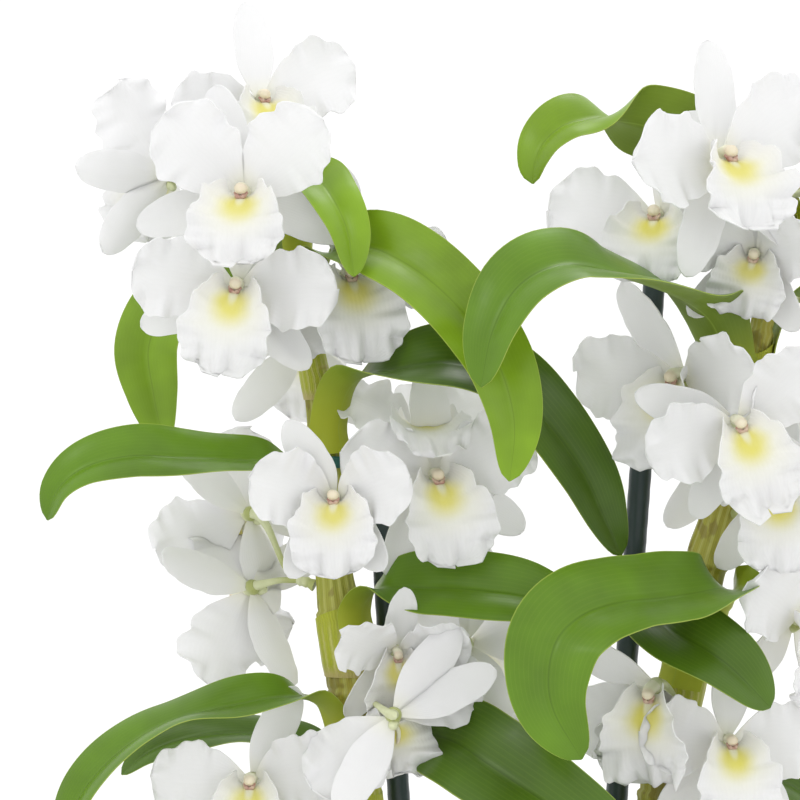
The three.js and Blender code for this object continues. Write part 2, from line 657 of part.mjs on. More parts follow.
// The five tepals, the lip and the column of bloom number n, as solids in the bloom's own frame.
function bloomBlades(bloom, n, extra) {
  const open = bloom.open ?? 1;
  const angles = bloom.angles ?? TEPAL_ANGLES;
  const opened = (form) => ({ ...form, lift: mix(64, form.lift, open), curl: mix(26, form.curl, open) });
  const jitter = (k) => (draw(n * 7 + k) - 0.5) * 6;
  const phase = (k) => draw(n * 7 + k + 3) * 2 * Math.PI;
  const thick = (form) => form.thick + 2 * extra;
  const hubRadius = HUB.radius + extra;
  const hubLength = HUB.back + HUB.front + 2 * extra;
  const hub = new THREE.CylinderGeometry(hubRadius, hubRadius, hubLength, HUB.sides, 1);
  hub.rotateX(Math.PI / 2);
  hub.translate(0, 0, (HUB.front - HUB.back) / 2);
  const blades = [toSolid(hub)];
  angles.slice(0, 3).forEach((angle, k) => {
    const sepal = tepalSurface(opened(SEPAL), angle + jitter(k), 0);
    blades.push(skinSolid(sepal, SEPAL_STATIONS, CELLS.sepal, thick(SEPAL), extra));
  });
  angles.slice(3).forEach((angle, k) => {
    const petal = tepalSurface(opened(PETAL), angle + jitter(k + 3), phase(k));
    blades.push(skinSolid(petal, PETAL_STATIONS, CELLS.petal, thick(PETAL), extra));
  });
  const lip = lipSurface(LIP.length * (bloom.lip ?? 1), phase(2));
  blades.push(skinSolid(lip, LIP_STATIONS, CELLS.lip, thick(LIP), extra));
  const { radius, length, lean, sides } = COLUMN;
  const column = new THREE.CylinderGeometry(radius + extra, radius * 0.8 + extra, length, sides, 1);
  column.rotateX(Math.PI / 2 + lean);
  column.translate(0, 0.5, length / 2);
  blades.push(toSolid(column));
  return blades;
}

// The foot of a spray: where the peduncle leaves the cane, and the knot that the pedicels grow from.
function peduncleEnds(spray) {
  const place = caneAt(spray.cane, spray.z);
  const outward = vec(Math.sin(spray.side * RAD), -Math.cos(spray.side * RAD), 0);
  const start = place.centre.clone().addScaledVector(outward, place.radius + PEDUNCLE.off);
  const knot = start.clone().addScaledVector(outward, PEDUNCLE.reach).add(vec(0, 0, 2));
  return { start, knot, outward };
}

// A pedicel swells into the hub and spur at the back of its bloom.
function pedicelSolid(bloom, knot, outward, extra) {
  const matrix = bloomMatrix(bloom);
  const hub = vec(0, 0, 1 - HUB.back).applyMatrix4(matrix);
  const behind = vec(0, -6, -18).applyMatrix4(matrix);
  const leave = knot.clone().addScaledVector(outward, 10);
  const curve = new THREE.CubicBezierCurve3(knot, leave, behind, hub);
  const length = curve.getLength();
  const r = PEDICEL.radius + extra;
  const profile = [[0, 0], [0, r], [length * 0.5, r], [length, PEDICEL.end + extra], [length, 0]];
  return bentLathe(profile, PEDICEL.sides, curve);
}

let bloomCount = 0;

function spraySolid(spray) {
  const { start, knot, outward } = peduncleEnds(spray);
  const stub = (extra) => {
    const radius = PEDUNCLE.radius + extra;
    const end = PEDUNCLE.reach + 2 + extra;
    const line = new THREE.LineCurve3(start, knot.clone().addScaledVector(outward, 2));
    return bentLathe([[-extra, 0], [-extra, radius], [end, radius], [end, 0]], PEDICEL.sides, line);
  };
  const bodies = [stub(0)];
  const cutters = [stub(MARGIN)];
  spray.blooms.forEach((bloom) => {
    bloomCount += 1;
    const matrix = bloomMatrix(bloom).elements;
    const place = (solids) => solids.map((solid) => solid.transform(matrix));
    const grown = (extra) => [
      ...place(bloomBlades(bloom, bloomCount, extra)),
      pedicelSolid(bloom, knot, outward, extra),
    ];
    bodies.push(...grown(0));
    cutters.push(...grown(MARGIN));
  });
  return { body: joinAll(bodies), cutters };
}

// ---- Pot and bark ----

// A closed profile of [radius, height] turned round the upright axis.
function lathed(profile, sides) {
  const outline = profile.map(([radius, z]) => new THREE.Vector2(radius, z));
  const geometry = new THREE.LatheGeometry(outline, sides).rotateX(Math.PI / 2);
  const solid = toSolid(geometry);
  return solid.volume() > 0 ? solid : toSolid(flipped(geometry));
}

function potSolid() {
  const { height, rimRadius, baseRadius, wall, rimHeight, rimStep, sides } = POT;
  const under = rimRadius - rimStep - 1;
  const profile = [
    [0, 0], [baseRadius, 0], [under, height - rimHeight],
    [rimRadius, height - rimHeight], [rimRadius, height], [rimRadius - wall, height],
    [under - wall, height - rimHeight], [baseRadius - wall, wall], [0, wall],
  ];
  return lathed(profile, sides);
}

// The inside radius of the pot at a height under the rim.
const potInside = (z) => mix(POT.baseRadius - POT.wall, POT.rimRadius - POT.rimStep - 1 - POT.wall,
  (z - POT.wall) / (POT.height - POT.rimHeight - POT.wall));

function barkSolid() {
  const facet = Math.cos(Math.PI / POT.sides);
  const radius = (z) => potInside(z) * facet - GAP - 0.2;
  const { bottom, level } = BARK;
  const profile = [[0, bottom], [radius(bottom), bottom], [radius(level), level], [0, level]];
  let solid = lathed(profile, POT.sides);
  for (let k = 0; k < BARK.chips; k += 1) {
    const spread = Math.sqrt((k + 0.5) / BARK.chips) * (radius(BARK.level) - 12);
    const turn = k * 2.39996;
    const chip = new THREE.BoxGeometry(
      BARK.chipLength * mix(0.7, 1.1, draw(k)),
      BARK.chipWidth * mix(0.7, 1.2, draw(k + 50)),
      BARK.chipHeight,
    );
    chip.rotateX((draw(k + 100) - 0.5) * 0.7);
    chip.rotateY((draw(k + 150) - 0.5) * 0.7);
    chip.rotateZ(draw(k + 200) * Math.PI);
    chip.translate(spread * Math.cos(turn), spread * Math.sin(turn), BARK.level + 0.5);
    solid = solid.add(toSolid(chip));
  }
  return solid;
}

// A plain straight hole in the bark for a stem: from its foot up past the top of the bark.
function holeSolid(foot, top, radius) {
  const curve = new THREE.LineCurve3(foot, top);
  const length = curve.getLength();
  return bentLathe([[-GAP, 0], [-GAP, radius], [length, radius], [length, 0]], CANE.sides, curve);
}

// ---- Assembly ----

const plant = new THREE.Group();
const made = [];

function boxesMeet(a, b) {
  return [0, 1, 2].every((k) => a.min[k] <= b.max[k] && b.min[k] <= a.max[k]);
}

// Adds a node, first cut clear of every earlier node that it would cross.
function addNode(name, body, cutters, material) {
  let solid = body;
  made.forEach((other) => {
    other.cutters.forEach((cutter, k) => {
      if (!boxesMeet(solid.boundingBox(), other.boxes[k])) return;
      solid = solid.subtract(cutter);
    });
  });
  solid = largest(solid.simplify(WELD));
  made.push({ cutters, boxes: cutters.map((cutter) => cutter.boundingBox()) });
  const mesh = new THREE.Mesh(toGeometry(solid), material);
  mesh.name = name;
  plant.add(mesh);
}

// Every node adds its own shape, grown by the margin, to the shapes that later nodes are cut clear of.
const stemHole = (line) => {
  const [foot, top] = line.map(([z, x, y]) => vec(x, y, z));
  return holeSolid(foot, top, line[1][3] + CANE.nodeSwell + MARGIN);
};
const stakeHole = (stake) => {
  const top = stakeAt(stake, LEFT_CANE[1][0]);
  return holeSolid(vec(...stake.foot), top, STAKE.radius + 2 * MARGIN);
};
const holes = [stemHole(LEFT_CANE), stemHole(RIGHT_CANE), stakeHole(LEFT_STAKE), stakeHole(RIGHT_STAKE)];

addNode('pot', potSolid(), [], POT_CLAY);
addNode('bark', barkSolid().subtract(joinAll(holes)), [], BARK_BROWN);
addNode('cane_left', caneSolid('left'), [caneSolid('left', MARGIN)], CANE_OLIVE);
addNode('cane_right', caneSolid('right'), [caneSolid('right', MARGIN)], CANE_OLIVE);
addNode('stake_left', stakeSolid(LEFT_STAKE), [stakeSolid(LEFT_STAKE, MARGIN)], STAKE_GREEN);
addNode('stake_right', stakeSolid(RIGHT_STAKE), [stakeSolid(RIGHT_STAKE, MARGIN)], STAKE_GREEN);
[['left', LEFT_STAKE], ['right', RIGHT_STAKE]].forEach(([cane, stake]) => {
  CLIPS[cane].forEach((z, k) => {
    const cutters = [clipSolid(cane, stake, z, MARGIN)];
    addNode(`clip_${cane}_${k + 1}`, clipSolid(cane, stake, z), cutters, CLIP_TEAL);
  });
});
Object.entries(LEAVES).forEach(([name, leaf]) => {
  addNode(name, leafSolid(leaf), [leafSolid(leaf, MARGIN)], LEAF_GREEN);
});
Object.entries(SPRAYS).forEach(([name, spray]) => {
  const { body, cutters } = spraySolid(spray);
  addNode(name, body, cutters, WHITE);
});

export default plant;
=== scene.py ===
import math

import bpy
import numpy as np
from bpy.props import FloatProperty, FloatVectorProperty, IntProperty, PointerProperty
from mathutils import Euler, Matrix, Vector


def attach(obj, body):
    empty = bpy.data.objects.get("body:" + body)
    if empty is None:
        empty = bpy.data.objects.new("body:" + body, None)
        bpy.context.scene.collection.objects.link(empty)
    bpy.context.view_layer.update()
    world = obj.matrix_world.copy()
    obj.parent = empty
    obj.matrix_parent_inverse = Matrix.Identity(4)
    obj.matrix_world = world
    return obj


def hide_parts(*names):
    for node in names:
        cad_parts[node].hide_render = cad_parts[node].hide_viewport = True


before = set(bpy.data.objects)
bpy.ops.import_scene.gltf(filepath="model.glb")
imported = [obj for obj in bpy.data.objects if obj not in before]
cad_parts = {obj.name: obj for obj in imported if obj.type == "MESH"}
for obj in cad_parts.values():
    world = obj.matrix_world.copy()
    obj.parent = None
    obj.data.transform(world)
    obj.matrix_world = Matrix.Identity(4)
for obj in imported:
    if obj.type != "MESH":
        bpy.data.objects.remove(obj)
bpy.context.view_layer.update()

bl_info = {
    "name": "Dendrobium Orchid",
    "version": (1, 0, 0),
    "blender": (4, 5, 0),
    "location": "3D View > Sidebar > Orchid",
    "description": "Builds a potted dendrobium orchid of the nobile kind with its blooms, leaves and stakes",
    "category": "Object",
}

# Every table and shape below is in millimetres; meshes are made in metres.
MM = 0.001

# The canes' middle lines, from the roots up: (height, x, y, radius).
CANES = {
    "left": [
        (62, -43, -4, 5), (118, -50, -4, 6), (180, -56, -3, 8), (240, -62, -2, 8), (262, -65, -1, 7.6),
        (305, -69.5, 0, 9.8), (325, -72.5, 0, 9.8), (345, -75.5, 0, 8.2), (375, -78.5, 0, 7.2),
        (402, -80, 0, 7.2), (422, -82, 0, 6.2), (445, -86.5, 0, 5.2), (475, -91.5, 0, 4.4),
        (504, -93, 0, 3.6),
    ],
    "right": [
        (62, 20, -7, 5), (118, 31, -6, 6), (180, 44, -5, 8), (235, 56, -3, 8.5), (265, 62, -2, 8.6),
        (300, 71, 0, 8.2), (335, 77, 0, 8.6), (355, 80.5, 0, 9), (390, 91, 0, 7), (410, 96.6, 0, 6),
        (455, 104, 0, 4.8), (490, 112, 0, 4.2), (516, 117, 0, 3.6),
    ],
}
# The stakes: foot and head of each rod.
STAKES = {"left": ((-36, 12, 55), (-59.8, 12, 424)), "right": ((29, 13, 55), (59.5, 12, 474))}
# Heights at which a clip ties a cane to its stake.
CLIPS = {"left": (396, 224), "right": (400, 210)}

# Leaves of each cane: height of the joint, width, route of the midrib, and where the upper side faces in the
# middle, at the tip and, where that differs from the middle, near the cane. "seat" draws the base in to the
# cane, "turned" is the share of the length by which the blade has turned away from it, and "tone" marks the
# leaves that are younger or older than the rest.
LEAVES = {
    "left": {
        "top": dict(z=494, width=25, tone="fresh", middle=(0.1, -0.85, 0.45), tip=(0.4, -0.9, 0.1),
            route=[(-84, -20, 512), (-77, -36, 506), (-70, -46, 491), (-67, -50, 472)]),
        "bract": dict(z=478, width=14, tone="fresh", middle=(0.1, 0.8, 0.6), tip=(0.4, 0.9, 0.1),
            route=[(-97, 12, 492), (-92, 20, 492), (-87, 24, 484)]),
        "arching": dict(z=462, width=36, tone="fresh", middle=(0.25, -0.88, 0.4), tip=(0.2, -0.97, 0.1),
            route=[(-79, -12, 481), (-63, -27, 485), (-45, -39, 477), (-28, -46, 463),
                   (-14, -48, 446), (-6, -52, 430), (-2, -53, 411), (-4, -53, 389)]),
        "long": dict(z=412, width=39, tone="dark", middle=(-0.1, -0.65, 0.75), tip=(0.35, -0.85, 0.3),
            route=[(-68, -14, 429), (-48, -27, 435), (-27, -33, 437), (-6, -31, 430),
                   (12, -25, 413), (28, -18, 391), (37, -14, 372), (44, -10, 357)]),
        "rear": dict(z=450, width=34, seat=0.8, tone="fresh",
            middle=(-0.3, -0.85, 0.45), tip=(-0.2, -0.97, 0.1),
            route=[(-108, 20, 468), (-130, 28, 472), (-147, 32, 463),
                   (-156, 34, 445), (-154, 33, 425), (-149, 30, 402)]),
        "level": dict(z=386, width=31, seat=1.55, middle=(0, -0.6, 0.78), tip=(-0.5, -0.8, 0.35),
            route=[(-97, -16, 395), (-116, -28, 397), (-137, -38, 398), (-157, -44, 399),
                   (-175, -46, 395), (-187, -46, 386), (-192, -44, 373)]),
        "middle": dict(z=334, width=35, middle=(0, -0.8, 0.6), tip=(0.3, -0.75, 0.6),
            route=[(-57, -16, 343), (-36, -22, 344), (-15, -25, 343),
                   (6, -25, 340), (25, -21, 332), (36, -17, 320)]),
        "drooping": dict(z=288, width=31, turned=0.32, near=(-0.1, -0.6, 0.8),
            middle=(0, -0.1, 1), tip=(-0.5, -0.65, 0.5),
            route=[(-84, -18, 297), (-99, -25, 299), (-117, -29, 296), (-137, -31, 291),
                   (-155, -33, 283), (-171, -34, 270), (-182, -34, 254), (-189, -32, 230)]),
        "behind": dict(z=262, width=23, seat=1.7, tone="dark",
            middle=(0, -0.5, 0.85), tip=(-0.3, -0.7, 0.5),
            route=[(-86, 16, 274), (-112, 28, 279), (-137, 33, 277), (-155, 35, 271), (-168, 35, 261)]),
        "dark": dict(z=276, width=43, turned=0.24, tone="dark", near=(-0.2, -0.9, 0.3),
            middle=(-0.05, -0.9, 0.42), tip=(0.25, -0.88, 0.4),
            route=[(-52, -9, 281), (-39, -14, 283), (-26, -28, 281), (-12, -41, 273),
                   (10, -51, 259), (34, -53, 243), (55, -51, 226)]),
        "low": dict(z=206, width=29, seat=1.6, middle=(0, -0.4, 0.9), tip=(-0.6, -0.6, 0.4),
            route=[(-75, -8, 222), (-94, -12, 225), (-116, -16, 217), (-136, -18, 198), (-146, -18, 173)]),
        "lowest": dict(z=178, width=28, seat=2.1, middle=(0, -0.6, 0.8), tip=(0.4, -0.8, 0.3),
            route=[(-42, -12, 195), (-24, -20, 202), (-4, -26, 197), (10, -30, 180), (16, -31, 156)]),
    },
    "right": {
        "top": dict(z=503, width=37, turned=0.55, tone="fresh", near=(0, 0.88, 0.48),
            middle=(-0.05, 0, 0.99), tip=(-0.6, -0.8, 0.15),
            route=[(100, 12, 519), (86, 13, 526.5), (72, 11, 533), (60, 7, 536.5), (47, 2, 539),
                   (34, -3, 539.5), (21.5, -8, 537), (12.5, -11, 530), (8, -12, 521), (7, -12, 512)]),
        "bract": dict(z=486, width=14, tone="fresh", middle=(0, -0.8, 0.6), tip=(-0.3, -0.9, 0.2),
            route=[(106, -14, 500), (99, -22, 502), (93, -27, 496)]),
        "arching": dict(z=424, width=44, turned=0.16, near=(0.1, 0.85, 0.5),
            middle=(0.05, -0.25, 0.96), tip=(-0.5, -0.85, 0.2),
            route=[(89, -14, 433), (85, -17, 446), (78, -25, 457), (63, -42, 465), (40, -58, 472),
                   (18, -68, 476), (0, -76, 468), (-11, -80, 450), (-16, -81, 427)]),
        "front": dict(z=333, width=46, turned=0.18, near=(0, -0.62, 0.78),
            middle=(-0.2, -0.7, 0.65), tip=(-0.12, -0.99, 0.05),
            route=[(89, -14, 341), (84, -28, 344), (72, -38, 342.5), (57, -48, 341), (41, -58, 340),
                   (26, -67, 336), (15, -74, 327), (11, -77, 313), (13, -79, 298), (24, -79, 279)]),
        "short": dict(z=314, width=38, seat=0.8, tone="dark",
            middle=(0.2, -0.88, 0.45), tip=(0.3, -0.85, 0.45),
            route=[(60, -21, 329), (67, -31, 325), (85, -38, 314), (103, -40, 296)]),
        "outer": dict(z=416, width=29, middle=(0, -0.5, 0.85), tip=(0.5, -0.7, 0.4),
            route=[(113, 8, 428), (131, 13, 430), (151, 14, 421), (167, 12, 404), (175, 10, 383)]),
        "high": dict(z=446, width=27, seat=0.95, tone="dark", middle=(0, 0.5, 0.85), tip=(0.3, 0.85, 0.35),
            route=[(116, 16, 461), (128, 32, 468), (140, 44, 464), (150, 52, 450), (156, 56, 430)]),
        "grey": dict(z=244, width=30, seat=2.0, tone="dark", middle=(0.1, -0.5, 0.85), tip=(0.5, -0.7, 0.4),
            route=[(80, 4, 259), (98, 8, 264), (120, 10, 257), (138, 10, 240), (146, 8, 216)]),
        "low": dict(z=232, width=28, seat=1.45, middle=(0, -0.1, 1), tip=(-0.6, -0.3, 0.5),
            route=[(42, -18, 247), (24, -28, 251), (6, -36, 242), (-6, -40, 222)]),
        "lowest": dict(z=184, width=28, seat=1.45, middle=(0, -0.4, 0.9), tip=(0.5, -0.7, 0.4),
            route=[(62, -8, 198), (80, -12, 202), (99, -14, 193), (114, -14, 172)]),
    },
}

# Sprays of each cane: height and side of the stalk (degrees round the cane, 0 to the front, 90 to +X), and
# for each bloom its hub, facing (turn, tilt, roll), size, and where it differs, how far it is open, the
# length of its lip and the angles of its tepals: dorsal sepal, two side sepals, two petals.
SPRAYS = {
    "left": {
        "top": dict(z=495, side=-20, blooms=[
            dict(hub=(-107, 2, 547.5), facing=(16, 6, 0), size=0.95, angles=(98, -52, 232, 22, 196)),
            dict(hub=(-112, -36, 506), facing=(-8, 2, 0), size=1.04, lip=0.8,
                 angles=(108, -22, 192, 38, 132)),
            dict(hub=(-145, -6, 516), facing=(-148, 4, 0), size=1, lip=0.8, angles=(112, -46, 2, 66, 150)),
        ]),
        "upper": dict(z=462, side=-60, blooms=[
            dict(hub=(-115, -32, 469), facing=(-6, -8, -8), size=0.98, angles=(90, -46, 214, 10, 176)),
        ]),
        "upper_right": dict(z=446, side=25, blooms=[
            dict(hub=(-70, -10, 474), facing=(12, -4, 4), size=1, angles=(92, -60, 176, 8, 214)),
        ]),
        "middle": dict(z=368, side=0, blooms=[
            dict(hub=(-75, -38, 381), facing=(-4, 4, 4), size=0.92, open=0.3,
                 angles=(116, -58, 236, 12, 166)),
        ]),
        "middle_right": dict(z=380, side=42, blooms=[
            dict(hub=(-34, -14, 390), facing=(12, -4, 8), size=1, angles=(88, -38, 240, 22, 154)),
            dict(hub=(-40, 0, 405), facing=(10, 50, 0), size=0.9),
        ]),
        "rear": dict(z=344, side=-105, blooms=[
            dict(hub=(-113, 22, 373), facing=(-152, -14, -45), size=0.96),
            dict(hub=(-112, 10, 342), facing=(-142, -22, -72), size=1, angles=(90, -30, 228, 16, 160)),
        ]),
        "lower_right": dict(z=316, side=60, blooms=[
            dict(hub=(-50, -20, 318), facing=(10, -24, 0), size=0.76, open=0.6),
            dict(hub=(-20, 4, 319), facing=(150, -20, 0), size=0.96),
        ]),
        "lower": dict(z=296, side=20, blooms=[
            dict(hub=(-51, -44, 293), facing=(180, -20, 0), size=1, lip=0.6,
                 angles=(156, 298, 125, 322, 141)),
        ]),
        "low": dict(z=250, side=-50, blooms=[
            dict(hub=(-110, -16, 264), facing=(-4, -6, 0), size=0.94, angles=(62, -52, 232, 14, 176)),
        ]),
        "back": dict(z=430, side=175, blooms=[
            dict(hub=(-90, 38, 446), facing=(172, 0, 0), size=0.95),
        ]),
    },
    "right": {
        "top": dict(z=507, side=-20, blooms=[
            dict(hub=(82, -44, 520), facing=(26, 6, 0), size=1.1, lip=0.8, angles=(93, -44, 252, 34, 182)),
            dict(hub=(128, -8, 512), facing=(62, 6, 0), size=0.98),
        ]),
        "upper": dict(z=474, side=-50, blooms=[
            dict(hub=(59, -12, 498.5), facing=(-15, 1, 0), size=1.02, lip=0.8,
                 angles=(68, -24, 205, 30, 176)),
            dict(hub=(99, -20, 482), facing=(-14, -12, -10), size=0.84, open=0.4, lip=0.8),
        ]),
        "outer": dict(z=462, side=80, blooms=[
            dict(hub=(132, -2, 468), facing=(74, -4, 0), size=0.98),
        ]),
        "middle": dict(z=424, side=-20, blooms=[
            dict(hub=(69, -14, 432), facing=(-38, -14, 0), size=1.04, angles=(126, -60, 238, 4, 172)),
            dict(hub=(89, -42, 413), facing=(12, -14, 18), size=0.96, angles=(150, -50, 232, 30, 176)),
        ]),
        "lower": dict(z=374, side=40, blooms=[
            dict(hub=(109, -22, 384), facing=(-6, -4, 0), size=0.9),
            dict(hub=(118, -4, 330), facing=(34, -12, 0), size=1),
        ]),
        "lowest": dict(z=290, side=0, blooms=[
            dict(hub=(57, -22, 303), facing=(-24, -26, 0), size=0.98, angles=(152, -66, 292, 250, 206)),
            dict(hub=(88, -16, 280), facing=(8, -2, 0), size=0.92, angles=(90, -54, 228, 8, 172)),
        ]),
        "back": dict(z=398, side=175, blooms=[
            dict(hub=(96, 42, 400), facing=(172, 0, 0), size=0.95),
        ]),
    },
}
# The angles of tepals round a bloom's face, in degrees, unless its own entry says otherwise.
TEPAL_ANGLES = (90, -50, 230, 28, 152)


def placed(kind, table):
    """Each entry of a table, with the name of its node and the cane that it grows on."""
    for cane, entries in table.items():
        for place, entry in entries.items():
            yield f"{kind}_{cane}_{place}", dict(entry, cane=cane)


# ---- Shapes ----


def smooth(low, high, value):
    """A soft step from 0 at low to 1 at high."""
    share = np.clip((np.asarray(value, float) - low) / (high - low), 0, 1)
    return share * share * (3 - 2 * share)


def mix(first, second, share):
    """The value that lies a share of the way from first to second."""
    return first + (second - first) * share


def draw(number):
    """A repeatable draw between 0 and 1."""
    value = math.sin(number * 12.9898 + 4.1414) * 43758.5453
    return value - math.floor(value)


def unit(vectors):
    """Vectors brought to length 1."""
    vectors = np.asarray(vectors, float)
    return vectors / np.maximum(np.linalg.norm(vectors, axis=-1, keepdims=True), 1e-9)


def ridge(place, middle, width):
    """A soft ridge of height 1 over a place."""
    return np.exp(-((place - middle) / width) ** 2)


def wave(share, turns, shift):
    """A wave with a number of turns over the whole length."""
    return np.sin(2 * math.pi * turns * share + shift)


def circle(angle, radius=1.0):
    """Flat points at an angle round the origin."""
    return np.stack([radius * np.cos(angle), radius * np.sin(angle)], axis=-1)


def spun(x, y, angle):
    """Two coordinates turned by an angle in their own plane."""
    return x * math.cos(angle) - y * math.sin(angle), x * math.sin(angle) + y * math.cos(angle)


def tip_steps(straight, count, tip_count):
    """Shares along a blade: even up to the straight share, then closer together up to the tip."""
    rounding = 1 - (1 - straight) * np.cos(np.linspace(0, math.pi / 2, tip_count))
    return np.concatenate([np.linspace(0, straight, count), rounding[1:]])


def edge_steps(count, pull):
    """Places across a blade from -1 to 1, pulled closer together towards its edges."""
    return np.sin(np.linspace(-1, 1, count) * math.pi / 2 * pull) / math.sin(math.pi / 2 * pull)


def round_ends(shares):
    """A factor that rounds off both ends of a thin ridge."""
    return np.sqrt(np.clip(1.02 - (2 * shares - 1) ** 4, 0.04, 1))


class Route:
    """A smooth line through points, read by the share of its length."""

    def __init__(self, points):
        self.points = np.asarray(points, float)
        self.shares = np.linspace(0, 1, 401)
        steps = np.linalg.norm(np.diff(self.raw(self.shares), axis=0), axis=1)
        self.lengths = np.concatenate([[0], np.cumsum(steps)])
        self.length = self.lengths[-1]

    def raw(self, share):
        """Points at shares of the count of points instead of the length."""
        last = len(self.points) - 1
        place = np.clip(share, 0, 1) * last
        index = np.minimum(place.astype(int), last - 1)
        rest = (place - index)[:, None]
        before = 2 * self.points[0] - self.points[1]
        after = 2 * self.points[-1] - self.points[-2]
        padded = np.vstack([before, self.points, after])
        p0, p1, p2, p3 = (padded[index + k] for k in range(4))
        start = (p2 - p0) / 2
        end = (p3 - p1) / 2
        square = -3 * p1 + 3 * p2 - 2 * start - end
        cube = 2 * p1 - 2 * p2 + start + end
        return p1 + start * rest + square * rest ** 2 + cube * rest ** 3

    def even(self, share):
        """The raw shares that belong to shares of the length."""
        return np.interp(np.clip(share, 0, 1) * self.length, self.lengths, self.shares)

    def at(self, share):
        """Points at shares of the length."""
        return self.raw(self.even(np.atleast_1d(share)))

    def heading(self, share):
        """Directions of the line at shares of the length."""
        place = self.even(np.atleast_1d(share))
        return unit(self.raw(np.minimum(place + 1e-4, 1)) - self.raw(np.maximum(place - 1e-4, 0)))


def arched(start, first, second, end):
    """A route along a cubic curve with two handles."""
    t = np.linspace(0, 1, 25)[:, None]
    start, first, second, end = (np.asarray(point, float) for point in (start, first, second, end))
    near = (1 - t) ** 3 * start + 3 * (1 - t) ** 2 * t * first
    return Route(near + 3 * (1 - t) * t ** 2 * second + t ** 3 * end)


